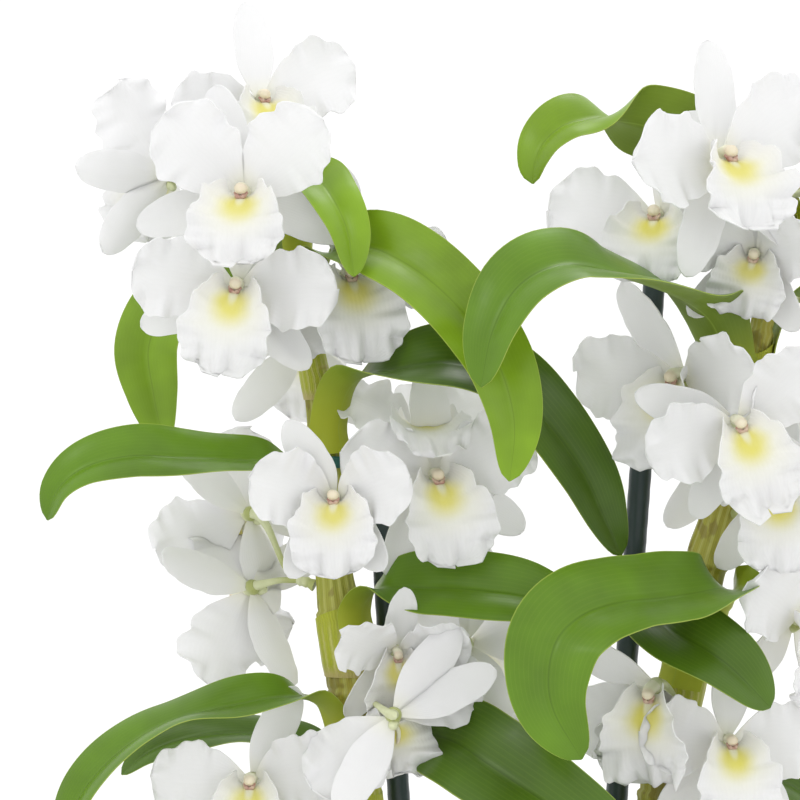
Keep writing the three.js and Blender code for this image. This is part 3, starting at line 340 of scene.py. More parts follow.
class Shape:
    """Collects the vertices, faces, finishes and surface coordinates of one piece."""

    def __init__(self, *finishes):
        self.finishes = finishes
        self.vertices = []
        self.faces = []
        self.corners = []
        self.slots = []
        self.count = 0

    def add(self, vertices, faces, corners, finish):
        """Adds vertices, faces of one width, and the surface coordinates of the faces' corners."""
        self.vertices.append(vertices.reshape(-1, 3))
        self.faces.append(faces + self.count)
        self.corners.append(corners.reshape(-1, 2))
        self.slots.append(np.full(len(faces), self.finishes.index(finish)))
        self.count += len(self.vertices[-1])

    def sheet(self, points, across, along, finish, closed=False, turned=False):
        """A grid of points, rows along it and columns across it, each with its surface coordinates."""
        rows, columns = points.shape[:2]
        steps = columns if closed else columns - 1
        i, j = np.meshgrid(np.arange(rows - 1), np.arange(steps), indexing="ij")
        i, j = i.ravel(), j.ravel()
        wide = np.append(across, 1.0) if closed else np.asarray(across)
        corners = [(i, j), (i, j + 1), (i + 1, j + 1), (i + 1, j)]
        if turned:
            corners.reverse()
        faces = np.stack([a * columns + b % columns for a, b in corners], axis=1)
        places = np.stack([np.stack([wide[b], np.asarray(along)[a]], axis=-1) for a, b in corners], axis=1)
        self.add(points, faces, places, finish)

    def blade(self, points, across, along, thick, top, under=None, closed=False):
        """A thin closed blade of even thickness round a grid of points."""
        widthwise = np.roll(points, -1, 1) - np.roll(points, 1, 1) if closed else np.gradient(points, axis=1)
        normal = unit(np.cross(unit(widthwise), unit(np.gradient(points, axis=0))))
        upper = points + normal * thick / 2
        lower = points - normal * thick / 2
        self.sheet(upper, across, along, top, closed)
        self.sheet(lower, across, along, under or top, closed, turned=True)
        self.sheet(np.stack([lower[0], upper[0]]), across, [along[0]] * 2, top, closed)
        self.sheet(np.stack([upper[-1], lower[-1]]), across, [along[-1]] * 2, top, closed)
        if not closed:
            self.sheet(np.stack([lower[:, 0], upper[:, 0]], axis=1), [across[0]] * 2, along, top)
            self.sheet(np.stack([upper[:, -1], lower[:, -1]], axis=1), [across[-1]] * 2, along, top)

    def tube(self, route, shares, radii, sides, finish, swell=None):
        """A round stem with closed ends along a route; swell(angle, share) multiplies its radius."""
        centre = route.at(shares)
        heading = route.heading(shares)
        side = unit(np.cross(np.array([0.31, 0.93, 0.2]), heading))
        front = unit(np.cross(heading, side))
        angle = np.arange(sides) * 2 * np.pi / sides
        radius = np.repeat(radii[:, None], sides, axis=1)
        if swell is not None:
            radius = radius * swell(angle[None, :], shares[:, None])
        ring = side[:, None] * np.cos(angle)[:, None] + front[:, None] * np.sin(angle)[:, None]
        points = centre[:, None] + ring * radius[..., None]
        self.sheet(points, np.arange(sides) / sides, shares, finish, closed=True)
        self.cap(points[0], centre[0], finish, shares[0], turned=True)
        self.cap(points[-1], centre[-1], finish, shares[-1])

    def cap(self, ring, centre, finish, along, turned=False):
        """A fan of triangles that closes a ring."""
        sides = len(ring)
        here = np.arange(sides)
        following = (here + 1) % sides
        order = [following, here] if turned else [here, following]
        faces = np.stack(order + [np.full(sides, sides)], axis=1)
        places = np.stack([np.stack([here / sides, np.full(sides, along)], axis=-1)] * 3, axis=1)
        self.add(np.vstack([ring, centre]), faces, places, finish)

    def lathe(self, profile, sides, finish, wobble=None):
        """A profile of (radius, height) turned round the upright axis; it closes where the radius is 0."""
        profile = np.asarray(profile, float)
        angle = np.arange(sides) * 2 * np.pi / sides
        radius = np.maximum(profile[:, :1], 0.02)
        if wobble is not None:
            radius = radius * wobble(angle, profile[:, 1:])
        height = np.repeat(profile[:, 1:], sides, axis=1)
        points = np.concatenate([circle(angle, radius), height[..., None]], axis=-1)
        self.sheet(points, np.arange(sides) / sides, np.linspace(0, 1, len(profile)), finish, closed=True)

    def place(self, move):
        """Moves everything collected so far, through a function of the vertices."""
        self.vertices = [move(vertices) for vertices in self.vertices]
        return self

    def join(self, other):
        """Takes in a shape with the same finishes."""
        self.vertices += other.vertices
        self.faces += [faces + self.count for faces in other.faces]
        self.corners += other.corners
        self.slots += other.slots
        self.count += other.count

    def piece(self, name, materials, slot, node, smooth_angle):
        """Makes the Blender object, which rides on the plant and stands for its node."""
        mesh = bpy.data.meshes.new(name)
        faces = [face for group in self.faces for face in group.tolist()]
        mesh.from_pydata((np.vstack(self.vertices) * MM).tolist(), [], faces)
        layer = mesh.uv_layers.new(name="UVMap")
        layer.data.foreach_set("uv", np.vstack(self.corners).ravel())
        for finish in self.finishes:
            mesh.materials.append(materials[finish])
        mesh.polygons.foreach_set("material_index", np.concatenate(self.slots))
        mesh.validate()
        mesh.shade_smooth()
        mesh.set_sharp_from_angle(angle=math.radians(smooth_angle))
        piece = new_object(name, mesh)
        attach(piece, "root")
        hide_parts(node)


def new_object(name, data):
    """An object for a mesh, lamp or camera, in the scene."""
    thing = bpy.data.objects.new(name, data)
    bpy.context.scene.collection.objects.link(thing)
    return thing


# ---- Canes ----

# Distance between two rings of a cane's skin, and its sides.
CANE_ROW = 1.4
CANE_SIDES = 72
# Round a joint: middle and width of the ring just under it and of the groove just over it, and how deep the
# groove and the waist between two joints are.
RING = (-1.2, 1.5)
GROOVE = (1.0, 0.7)
GROOVE_DEPTH = 0.5
WAIST_DEPTH = 0.25


def cane_at(name, height):
    """Middle and radius of a cane at a height, or at each of many."""
    line = np.asarray(CANES[name], float)
    x, y, radius = (np.interp(height, line[:, 0], line[:, k]) for k in (1, 2, 3))
    return np.stack([x, y, np.asarray(height, float)], axis=-1), radius


def cane_joints(route, spacing):
    """Shares of the cane's length at which it has a joint."""
    count = max(2, round(route.length / spacing))
    return np.arange(1, count) / count


def cane_shape(name, settings):
    """A ribbed cane with a swollen ring and a groove at every joint."""
    line = np.asarray(CANES[name], float)
    route = Route(line[:, [1, 2, 0]])
    shares = np.linspace(0, 1, int(route.length / CANE_ROW))
    radii = np.interp(route.at(shares)[:, 2], line[:, 0], line[:, 3])
    joints = cane_joints(route, settings.joint_spacing / MM)
    offsets = (shares[:, None] - joints) * route.length
    nearest = offsets[np.arange(len(shares)), np.abs(offsets).argmin(axis=1)]
    away = np.abs(nearest)
    ring = settings.joint_swell / MM * ridge(nearest, *RING)
    groove = GROOVE_DEPTH * ridge(nearest, *GROOVE)
    waist = WAIST_DEPTH * smooth(4, 14, away)
    ribs = settings.rib_count
    depth = settings.rib_depth / MM
    ribbed = smooth(1.5, 5, away)[:, None]

    def swell(angle, share):
        drift = 0.5 * np.sin(share * 31 + 2) + 0.35 * np.sin(share * 83)
        crests = np.cos(ribs * angle + drift) + 0.5 * np.cos((ribs + 5) * angle - drift * 2)
        relief = depth * ribbed * (crests - 0.6) / 1.6
        dent = 0.12 * np.sin(3 * angle + share * 19)
        return 1 + (relief + dent) / radii[:, None]

    shape = Shape("cane")
    shape.tube(route, shares, radii + ring - groove - waist, CANE_SIDES, "cane", swell)
    return shape


# ---- Stakes and clips ----

# A stake's point and cap, the rings of its coating, and the collar some tips below its head.
TIP_LENGTH = 4
POINT_SHARE = 0.58
COATING_STEP = 9
COATING_RELIEF = 0.07
COLLAR_TIPS = 4.5
COLLAR_WIDTH = 1.2
COLLAR_RELIEF = 0.18
# A clip's band, hinge and thumb tab.
BAND_SIDES = 16
CORNER_POWER = 0.55
HINGE_RADIUS = 1.5
TAB_RADIUS = 1.6


def stake_shape(name, settings):
    """A coated steel rod with small ribs in its coating, a blunt point, a collar and a domed cap."""
    foot, head = np.asarray(STAKES[name], float)
    route = Route([foot, mix(foot, head, 0.33), mix(foot, head, 0.66), head])
    tip = TIP_LENGTH / route.length
    middle = np.linspace(tip, 1 - tip, 150)[1:]
    shares = np.concatenate([np.linspace(0, tip, 6), middle, np.linspace(1 - tip, 1, 9)[1:]])
    point = mix(POINT_SHARE, 1, smooth(0, tip, shares))
    dome = np.clip((1 - shares) / tip, 0, 1)
    radii = settings.stake_radius / MM * point * np.sqrt(1 - (1 - dome) ** 2 * 0.85)
    ribs = np.sin(shares * route.length * 2 * np.pi / COATING_STEP) * smooth(0.9, 1, dome)
    collar = ridge((shares - (1 - COLLAR_TIPS * tip)) * route.length, 0, COLLAR_WIDTH)
    shape = Shape("stake")
    shape.tube(route, shares, radii + COATING_RELIEF * ribs + COLLAR_RELIEF * collar, 40, "stake")
    return shape


def band_path(distance, first, second):
    """The closed path of a band round two circles, with its outward directions."""
    side = math.pi / 2 - math.asin((first - second) / distance)
    round_first = np.linspace(side, 2 * math.pi - side, 40)
    round_second = np.linspace(-side, side, 40)
    straight = np.linspace(0, 1, 10)[1:-1, None]
    start = circle(round_first, first)
    end = circle(round_second, second) + (distance, 0)
    path = [start, mix(start[-1], end[0], straight), end, mix(end[-1], start[0], straight)]
    outward = circle(round_second)
    sides = [np.repeat(outward[[k]], len(straight), axis=0) for k in (0, -1)]
    return np.vstack(path), np.vstack([circle(round_first), sides[0], outward, sides[1]])


def band_section(wall, tall):
    """The band's cross-section: a rectangle with well rounded corners, from the stems outwards."""
    turns = circle(np.linspace(0, 2 * math.pi, BAND_SIDES, endpoint=False))
    return np.sign(turns) * np.abs(turns) ** CORNER_POWER * (wall / 2, tall / 2) + (wall / 2, 0)


def clip_shape(name, height, settings, swell):
    """A moulded band round cane and stake, with a rolled edge, a hinge and a thumb tab."""
    centre, radius = cane_at(name, height)
    foot, head = np.asarray(STAKES[name], float)
    rod = mix(foot, head, (height - foot[2]) / (head[2] - foot[2]))
    between = (rod - centre)[:2]
    distance = float(np.linalg.norm(between))
    clear, wall = settings.clip_clearance / MM, settings.clip_wall / MM
    tall = settings.clip_height / MM
    first = radius + swell + clear
    second = settings.stake_radius / MM + clear
    path, outward = band_path(distance, first, second)
    section = band_section(wall, tall)
    flat = path[:, None] + outward[:, None] * section[:, :1]
    band = np.concatenate([flat, np.repeat(section[None, :, 1:], len(path), axis=0)], axis=2)
    band = np.vstack([band, band[:1]])
    shape = Shape("clip")
    shape.sheet(band, np.arange(BAND_SIDES) / BAND_SIDES, np.linspace(0, 6, len(band)), "clip", True, True)
    shares = np.linspace(0, 1, 9)
    hinge = Route([(distance + second + wall, 0, tall * k) for k in (-0.5, 0, 0.5)])
    bulge = np.minimum(1, np.sqrt(1 - (np.abs(shares * 2 - 1)) ** 8) + 0.35)
    shape.tube(hinge, shares, HINGE_RADIUS * bulge, 16, "clip")
    tab = Route([(-first - wall * 0.4, 0, 0), (-first - wall - 1.2, 0, 0.2), (-first - wall - 2.6, 0, 0.9)])
    rounded = np.sqrt(np.clip(1.02 - shares ** 3, 0.05, 1))
    shape.tube(tab, shares, TAB_RADIUS * rounded, 14, "clip",
               lambda angle, _: 1 + 0.35 * np.abs(np.cos(angle)))
    turn = math.atan2(between[1], between[0])

    def move(points):
        x, y, z = points.T
        return np.stack([*spun(x, y, turn), z], axis=1) + centre
    return shape.place(move)


# ---- Leaves ----

LEAF_FINISHES = ("leaf", "underside", "sheath")
# The base clasps the cane's joint: its swell, a gap, half the leaf's thickness and the angle that it wraps.
CLASP = {"swell": 0.9, "gap": 0.3, "half_thickness": 0.45, "wrap": math.radians(35), "length": 12}
# Width of a blade where it leaves its base, and where and how fully its tip rounds off.
NECK_SHARE = 0.62
TIP_START = 0.45
TIP_POWER = 0.52
# Share of the length by which a blade has turned away from the cane, unless its own entry says otherwise.
TURNED = 0.38
# How far, in radians, a base may wrap round its cane, and how softly the midrib creases.
WRAP_LIMIT = 1.9
CREASE = 0.004
# A sheath's wall, the middle of its mouth under the joint, how far the mouth slants, and its pleats.
SHEATH_WALL = 0.3
SHEATH_SIDES = 36
MOUTH_DROP = 1.5
MOUTH_SLANT = 3.5
PLEATS = 16
PLEAT_DEPTH = 0.10


def leaf_outline(share):
    """Half width along a leaf, as a share of the greatest: clasping base, long middle, rounded tip."""
    neck = mix(NECK_SHARE, 1, smooth(0.1, 0.4, share))
    past = np.maximum(0, (share - TIP_START) / (1 - TIP_START))
    tip = np.maximum(0, 1 - past ** 2) ** TIP_POWER
    return np.maximum(0.02, neck * tip)


def leaf_route(leaf):
    """The midrib's route from the clasping base, the way out of the cane, and the base's distance."""
    joint, radius = cane_at(leaf["cane"], leaf["z"])
    foot, foot_radius = cane_at(leaf["cane"], leaf["z"] - CLASP["length"])
    toward = unit((leaf["route"][0] - joint) * (1, 1, 0))
    clear = CLASP["swell"] + CLASP["gap"] + CLASP["half_thickness"]
    seat = leaf.get("seat", 0)
    off, foot_off = ((r + clear) / math.cos(CLASP["wrap"]) - seat for r in (radius, foot_radius))
    return Route([foot + toward * foot_off, joint + toward * off, *leaf["route"]]), toward, off


def leaf_normals(leaf, toward, heading, s):
    """Where the upper side faces along the midrib: out of the cane, then as the leaf's table says."""
    middle, tip = unit(leaf["middle"]), unit(leaf["tip"])
    near = unit(leaf.get("near", leaf["middle"]))
    turned = leaf.get("turned", TURNED)
    facing = mix(-toward, near, smooth(0.08, turned, s))
    facing = mix(facing, middle, smooth(turned, turned + 0.22, s))
    facing = mix(facing, tip, smooth(0.4, 0.95, s))
    return unit(facing - heading * np.sum(facing * heading, axis=1, keepdims=True))


def leaf_points(leaf, number, along, across, settings):
    """The middle surface of a leaf: wrapped round the cane at its base, then folded up along the midrib."""
    route, toward, off = leaf_route(leaf)
    centre = route.at(along)
    heading = route.heading(along)
    s, t = along[:, None], across[None, :]
    normal = leaf_normals(leaf, toward, heading, s)
    widthwise = unit(np.cross(heading, normal))
    half = leaf["width"] / 2 * leaf_outline(s)
    reach = half * t
    opening = smooth(0.06, 0.4, s)
    wrap = np.minimum(WRAP_LIMIT, half / off) * np.abs(t)
    crease = np.abs(t) / np.sqrt(t ** 2 + CREASE)
    bend = mix(wrap, settings.fold * 2 * crease, opening)
    phase = draw(number) * 6.28
    roll = np.sin(s * 9.4 + phase + np.sign(t) * 1.3) + 0.5 * np.sin(s * 17 + phase * 2 - np.sign(t))
    rolled = settings.edge_wave / MM * roll * t ** 2 * smooth(0.2, 0.4, s) * smooth(1, 0.85, s)
    belly = settings.belly / MM * np.sin(math.pi * np.abs(t)) * opening * smooth(1.0, 0.8, s)
    lift = np.abs(reach) * np.sin(bend / 2) + rolled + belly
    sideways = reach * np.cos(bend / 2)
    return centre[:, None] + widthwise[:, None] * sideways[..., None] + normal[:, None] * lift[..., None]


def add_sheath(shape, leaf, settings):
    """The papery, pleated sleeve of a leaf round the cane under its joint."""
    joint, _ = cane_at(leaf["cane"], leaf["z"])
    toward = leaf["route"][0] - joint
    across = np.arange(SHEATH_SIDES) / SHEATH_SIDES
    along = np.linspace(0, 1, 26)
    angle = across * 2 * math.pi
    s = along[:, None]
    foot = leaf["z"] - settings.sheath_length / MM
    mouth = leaf["z"] - MOUTH_DROP + MOUTH_SLANT * np.cos(angle - math.atan2(toward[1], toward[0]))
    middles, radii = cane_at(leaf["cane"], mix(foot, mouth, s))
    pleats = PLEAT_DEPTH * np.sin(angle * PLEATS + 1) * (1 - s)
    radii = radii + 0.35 + 0.35 * smooth(0.0, 0.25, s) + 0.35 * s ** 6 + pleats
    middles[..., :2] += circle(angle, radii)
    shape.blade(middles, across, along, SHEATH_WALL, "sheath", closed=True)


def leaf_shape(leaf, number, settings):
    """A leaf, thin at its edges, with its sheath."""
    along = tip_steps(straight=0.8, count=58, tip_count=22)
    across = edge_steps(count=21, pull=0.92)
    points = leaf_points(leaf, number, along, across, settings)
    thick = settings.thickness / MM * np.clip(1 - np.abs(across) ** 8, 0.35, 1)
    shape = Shape(*LEAF_FINISHES)
    shape.blade(points, (across + 1) / 2, along, thick[:, None], "leaf", "underside")
    add_sheath(shape, leaf, settings)
    return shape


# ---- Blooms ----

BLOOM_FINISHES = ("petal", "lip", "column", "mark", "stalk")
# How far the outline of a petal or lip wavers, as a share of its width.
NOTCH = 0.035
# Rise and curl, in degrees, of the petals of a bud that is about to open.
CLOSED = {"lift": 64, "curl": 26}
# Radii along the parts of a bloom and its stalk: (share of the length, radius).
HOOD = [(0, 2.4), (0.3, 2.2), (0.66, 2.2), (0.72, 2.0), (0.8, 2.5), (0.9, 2.3), (0.97, 1.4), (1, 0.2)]
HUB = [(0, 2.2), (0.3, 3.5), (0.75, 3.2), (1, 0.6)]
SPUR = [(0, 2.6), (0.6, 2.1), (0.9, 1.5), (1, 0.3)]
STEM = [(0, 1.2), (0.5, 1.3), (0.85, 1.9), (1, 2.4)]
STUB = [(0, 2.7), (0.1, 2.5), (0.35, 1.9), (0.4, 2.5), (0.7, 1.9), (0.75, 2.4), (1, 1.2)]
# Reach and rise of the short stalk from the cane to the knot where the stems part.
STALK_LENGTH = 6
STALK_RISE = 2
# The angle of a tepal is off by up to half of this either way.
ANGLE_SPREAD = 6


def radii_at(shares, radii):
    """The radius at each share of a stem's length."""
    return np.interp(shares, *np.transpose(radii))


def tepal_outline(share, form):
    """Half width along a petal: a narrow claw, a broad peak, a rounded tip."""
    peak = form["peak"]
    rising = mix(form["claw"], 1, np.sin(math.pi / 2 * np.clip(share / peak, 0, 1)))
    past = np.clip((share - peak) / (1 - peak), 0, 1)
    falling = np.sqrt(np.maximum(0, 1 - past ** 2.4))
    closing = form["tip"] * np.sqrt(np.maximum(0, 1 - smooth(0.86, 1.0, share) ** 1.5))
    return np.where(share < peak, rising, np.clip(np.maximum(closing, falling), 0.03, 1))


def cupped(half, cup, t):
    """How far a blade that is bent to an arc reaches sideways and up, across its width."""
    return half * np.sin(cup * t) / cup, half * (1 - np.cos(cup * t)) / cup


def tepal_points(form, angle, phase, along, across, ruffle):
    """The middle surface of a sepal or petal that leaves the hub at an angle round the bloom's face."""
    s, t = along[:, None], across[None, :]
    side = np.sign(t)
    start = math.radians(form["lift"])
    turn = math.radians(form["curl"]) - start
    rise = start + turn * s
    out = form["length"] * (np.sin(rise) - math.sin(start)) / turn + form["start"]
    up = form["length"] * (math.cos(start) - np.cos(rise)) / turn + form["front"]
    notch = wave(s, 2.3, phase * 3 + side) + 0.6 * wave(s, 5.1, -phase)
    notch = NOTCH * form["wave"] * notch * smooth(0.2, 0.5, s)
    half = form["width"] / 2 * tepal_outline(s, form) * (1 + notch)
    wide = half * t
    slow = t ** 2 * wave(s, form["waves"], phase) * s + 0.6 * t * np.abs(t) * wave(s, 1.1, phase * 2) * s
    crumple = 0.22 * s * np.sin(0.3 * wide + 6 * s + phase * 2) * np.sin(9 * s - 0.12 * wide - phase)
    frill = wave(s, 3.7, phase * 2 + side * 1.7) + 0.5 * wave(s, 7.1, phase * 5 - side * 0.9)
    frill = frill * np.abs(t) ** 2.4 * smooth(0.12, 0.5, s)
    front = smooth(0.66, 0.95, s) * (np.sin(0.42 * wide + phase) + 0.4 * np.sin(0.95 * wide - phase))
    groove = ridge(t, 0, 0.09) * (1 - s) * 0.5
    sideways, lift = cupped(half, math.radians(form["cup"]), t)
    lift = lift + form["wave"] * (slow + crumple) + ruffle * (frill + 0.6 * front) - groove
    x, y = spun(out - np.sin(rise) * lift, sideways, math.radians(angle))
    return np.stack([x, y, up + np.cos(rise) * lift], axis=-1)


def lip_points(form, length, phase, along, across, ruffle):
    """The lip: rolled round the column at its foot, opening into a frilled trumpet."""
    s, t = along[:, None], across[None, :]
    side = np.sign(t)
    start = math.radians(form["lift"])
    turn = (math.radians(form["curl"]) - start) * s ** 0.8
    rise = start + turn
    middle = start + turn * 0.55
    down = length * s * np.cos(middle) + 1.5
    forward = length * s * np.sin(middle) * form["reach"] + form["foot"]
    notch = wave(s, 3.1, phase * 3 + side) + 0.6 * wave(s, 6.7, -phase)
    half = form["width"] / 2 * tepal_outline(s, form) * (1 + NOTCH * notch * smooth(0.1, 0.4, s))
    wide = half * t
    slow = form["wave"] * t ** 2 * wave(s, form["waves"], phase) * smooth(0.2, 0.9, s)
    crumple = 0.5 * smooth(0.35, 0.8, s) * np.sin(0.33 * wide + 5 * s + phase * 2) * np.sin(10 * s - phase)
    frill = wave(s, 4.2, phase * 2 + side * 2.1) + 0.5 * wave(s, 8.3, phase * 4)
    frill = frill * np.abs(t) ** 2.2 * smooth(0.05, 0.4, s)
    brim = smooth(0.6, 0.95, s) * (np.sin(0.45 * wide + phase) + 0.6 * np.sin(0.98 * wide - phase))
    keel = ridge(t, 0, 0.16) * smooth(0.55, 0.25, s) * 1.1
    cup = np.radians(mix(form["cup_start"], form["cup_end"], smooth(0, 0.7, s)))
    sideways, lift = cupped(half, cup, t)
    lift = lift + slow + crumple + ruffle * (frill + 0.9 * brim) + keel
    return np.stack([sideways, -down + np.sin(rise) * lift, forward + np.cos(rise) * lift], axis=-1)


def bloom_frame(bloom):
    """A function that takes points from a bloom's own frame to the plant's."""
    turn, tilt, roll = (math.radians(value) for value in bloom["facing"])
    out = np.array([math.sin(turn) * math.cos(tilt), -math.cos(turn) * math.cos(tilt), math.sin(tilt)])
    right = np.array([math.cos(turn), math.sin(turn), 0])
    up = np.cross(out, right)

    def place(points):
        x, y = spun(points[:, :1], points[:, 1:2], roll)
        return bloom["hub"] + bloom["size"] * (x * right + y * up + points[:, 2:] * out)
    return place


def bloom_forms(settings, share):
    """The forms of sepals, petals and lip, where the bloom is open by a share."""
    sepal = dict(length=settings.sepal_length / MM, width=settings.sepal_width / MM, lift=2, curl=-8, cup=22,
                 claw=0.18, peak=0.45, tip=0.3, start=2, front=-2, wave=0.4, waves=0.8)
    petal = dict(length=settings.petal_length / MM, width=settings.petal_width / MM, lift=26, curl=2, cup=26,
                 claw=0.09, peak=0.58, tip=0.5, start=2, front=0.6, wave=2.0, waves=1.6)
    lip = dict(width=settings.lip_width / MM, lift=84, curl=-18, cup_start=98, cup_end=34, claw=0.52,
               peak=0.62, tip=0.5, reach=0.9, foot=4.2, wave=3.4, waves=2.6)
    for form in (sepal, petal):
        for key, closed in CLOSED.items():
            form[key] = mix(closed, form[key], share)
    return sepal, petal, lip


def add_column(shape):
    """The column: a hooded stalk with two wings and a rounded anther cap, and two ridges below it."""
    shares = np.linspace(0, 1, 22)
    hood = Route([(0, 0.6, -1), (0, 1.9, 3), (0, 2.2, 7), (0, 0.6, 10.5)])
    shape.tube(hood, shares, radii_at(shares, HOOD), 18, "column",
               lambda angle, share: 1 + 0.3 * np.abs(np.cos(angle)) ** 3 * smooth(0.9, 0.6, share))
    shares = np.linspace(0, 1, 12)
    for side in (-1, 1):
        rail = Route([(side * 1.3, -2.4, 5), (side * 2.2, -4.6, 9.5), (side * 1.7, -8.5, 12.4)])
        shape.tube(rail, shares, 0.9 * round_ends(shares), 8, "column")


def add_mark(shape):
    """The lobed hollow under the anther cap."""
    shares = np.linspace(0, 1, 18)
    hollow = Route([(-2.5, 0.6, 7.6), (-1.7, -1.0, 8.8), (0, -1.7, 9.5), (1.7, -1.0, 8.8), (2.5, 0.6, 7.6)])
    lobes = 0.85 + 0.22 * np.cos(shares * 6 * math.pi)
    shape.tube(hollow, shares, lobes * round_ends(shares), 10, "mark")


def add_hub(shape):
    """The hub behind the petals and the spur under it."""
    shares = np.linspace(0, 1, 10)
    hub = Route([(0, 0, -5.2), (0, 0, -2), (0, 0, 2.6)])
    shape.tube(hub, shares, radii_at(shares, HUB), 16, "stalk")
    spur = Route([(0, -1.5, 0.5), (0, -4.2, -2.2), (0, -5.6, -5.2)])
    shape.tube(spur, shares, radii_at(shares, SPUR), 14, "stalk")


def bloom_shape(bloom, number, settings):
    """One bloom: three sepals, two petals, lip, column, hub and spur."""
    sepal, petal, lip = bloom_forms(settings, bloom.get("open", 1))
    thick = settings.petal_thickness / MM
    ruffle = settings.ruffle / MM
    angles = bloom.get("angles", TEPAL_ANGLES)
    angles = [angle + (draw(number * 7 + k) - 0.5) * ANGLE_SPREAD for k, angle in enumerate(angles)]
    phases = [draw(number * 7 + k + 3) * 2 * math.pi for k in range(3)]
    shape = Shape(*BLOOM_FINISHES)
    along = tip_steps(straight=0.84, count=27, tip_count=11)
    across = edge_steps(count=21, pull=0.9)
    narrow = across[::2]
    tepals = [(sepal, 2.1 * k + number, narrow, 0.25) for k in range(3)]
    tepals += [(petal, phase, across, ruffle) for phase in phases[:2]]
    for angle, (form, phase, steps, height) in zip(angles, tepals):
        points = tepal_points(form, angle, phase, along, steps, height)
        shape.blade(points, (steps + 1) / 2, along, thick, "petal")
    along = tip_steps(straight=0.8, count=30, tip_count=13)
    across = np.linspace(-1, 1, 33)
    length = settings.lip_length / MM * bloom.get("lip", 1)
    points = lip_points(lip, length, phases[2], along, across, ruffle * 1.3)
    shape.blade(points, (across + 1) / 2, along, thick, "lip")
    add_column(shape)
    add_mark(shape)
    add_hub(shape)
    return shape.place(bloom_frame(bloom))


def add_stem(shape, knot, outward, bloom):
    """The stem of a bloom, from the stalk's knot to the back of its hub."""
    behind, hub = bloom_frame(bloom)(np.array([[0, -6, -18], [0, 0, -3.5]]))
    shares = np.linspace(0, 1, 26)
    stem = arched(knot, knot + outward * 10, behind, hub)
    shape.tube(stem, shares, radii_at(shares, STEM), 12, "stalk",
               lambda angle, _: 1 + 0.06 * np.cos(3 * angle))


def spray_shape(spray, first, settings):
    """A spray: the short stalk with its bracts, and a bloom and its stem for each place."""
    centre, radius = cane_at(spray["cane"], spray["z"])
    side = math.radians(spray["side"])
    outward = np.array([math.sin(side), -math.cos(side), 0])
    start = centre + outward * (radius + CLASP["swell"])
    knot = start + outward * STALK_LENGTH + (0, 0, STALK_RISE)
    stub = Route([start, mix(start, knot, 0.5) + (0, 0, 0.2), knot + outward * 2])
    shares = np.linspace(0, 1, 14)
    shape = Shape(*BLOOM_FINISHES)
    shape.tube(stub, shares, radii_at(shares, STUB), 14, "stalk")
    for number, bloom in enumerate(spray["blooms"], first + 1):
        shape.join(bloom_shape(bloom, number, settings))
        add_stem(shape, knot, outward, bloom)
    return shape


# ---- Pot and bark ----

# How far the rim stands out and how tall it is, and the gap between the bark and the pot.
RIM_STEP = 4
RIM_HEIGHT = 9
BARK_GAP = 0.7
# Turn from one chip to the next.
GOLDEN_ANGLE = 2.39996
# How unevenly a chip's three directions flake.
CHIP_FLAKES = np.array([[3.1, 1.7, 2.3], [1.3, 4.2, 0.7], [2.9, 0.9, 3.7]])
# Room that a chip leaves to the rim's inside and to a stem, and the heights between which chips lie over the
# bark's level.
RIM_ROOM = 4.5
STEM_ROOM = 6
HEAP = (-1.0, 3.2)


def pot_sizes(settings):
    """Height, rim radius, foot radius and wall of the pot."""
    sizes = settings.height, settings.rim_radius, settings.base_radius, settings.wall
    return (value / MM for value in sizes)


def pot_shape(settings):
    """A plain tapered pot with a stepped, rounded rim and a foot ring."""
    height, rim, base, wall = pot_sizes(settings)
    under = rim - RIM_STEP
    low = height - RIM_HEIGHT
    profile = [
        (0, 1.6), (base - 8, 1.6), (base - 6, 0.2), (base - 1.6, 0), (base - 0.4, 0.6), (base, 1.8),
        *((mix(base, under, share), low * share) for share in (0.25, 0.5, 0.75)),
        (under - 0.1, low - 1.0), (under + 0.5, low - 0.1), (rim - 1.0, low), (rim - 0.2, low + 0.4),
        (rim, low + 1.3), (rim, height - 1.6), (rim - 0.5, height - 0.4), (rim - 1.5, height),
        (rim - wall + 0.8, height), (rim - wall + 0.1, height - 0.5), (rim - wall, height - 1.4),
        (under - wall + 0.4, low + 0.4), (under - wall, low - 1),
        (base - wall, wall + 0.8), (base - wall - 1, wall), (0, wall),
    ]
    shape = Shape("pot")
    shape.lathe(profile, 128, "pot")
    return shape


def chip_shape(number, place, half_length):
    """One bark chip: a flaked block with uneven faces."""
    steps = np.linspace(-1, 1, 4)
    a, b = np.meshgrid(steps, steps, indexing="ij")
    tilts = [(draw(number + seed) - 0.5) * 1.1 for seed in (100, 150)]
    rotation = np.array(Euler((*tilts, draw(number + 200) * math.pi)).to_matrix())
    half = half_length * np.array([mix(0.6, 1.15, draw(number)), mix(0.35, 0.75, draw(number + 50)), 0.22])
    shape = Shape("bark")
    for axis in range(3):
        for sign in (-1, 1):
            face = np.roll(np.stack([np.full(a.shape, float(sign)), a * sign, b], axis=-1), axis, axis=-1)
            rounded = face / np.maximum(1, np.linalg.norm(face, axis=-1, keepdims=True)) ** 0.45
            flakes = np.sin(face @ CHIP_FLAKES + number) * 0.09
            points = (rounded + flakes) * half @ rotation.T + place
            shape.sheet(points, (steps + 1) / 2, (steps + 1) / 2, "bark", turned=True)
    return shape


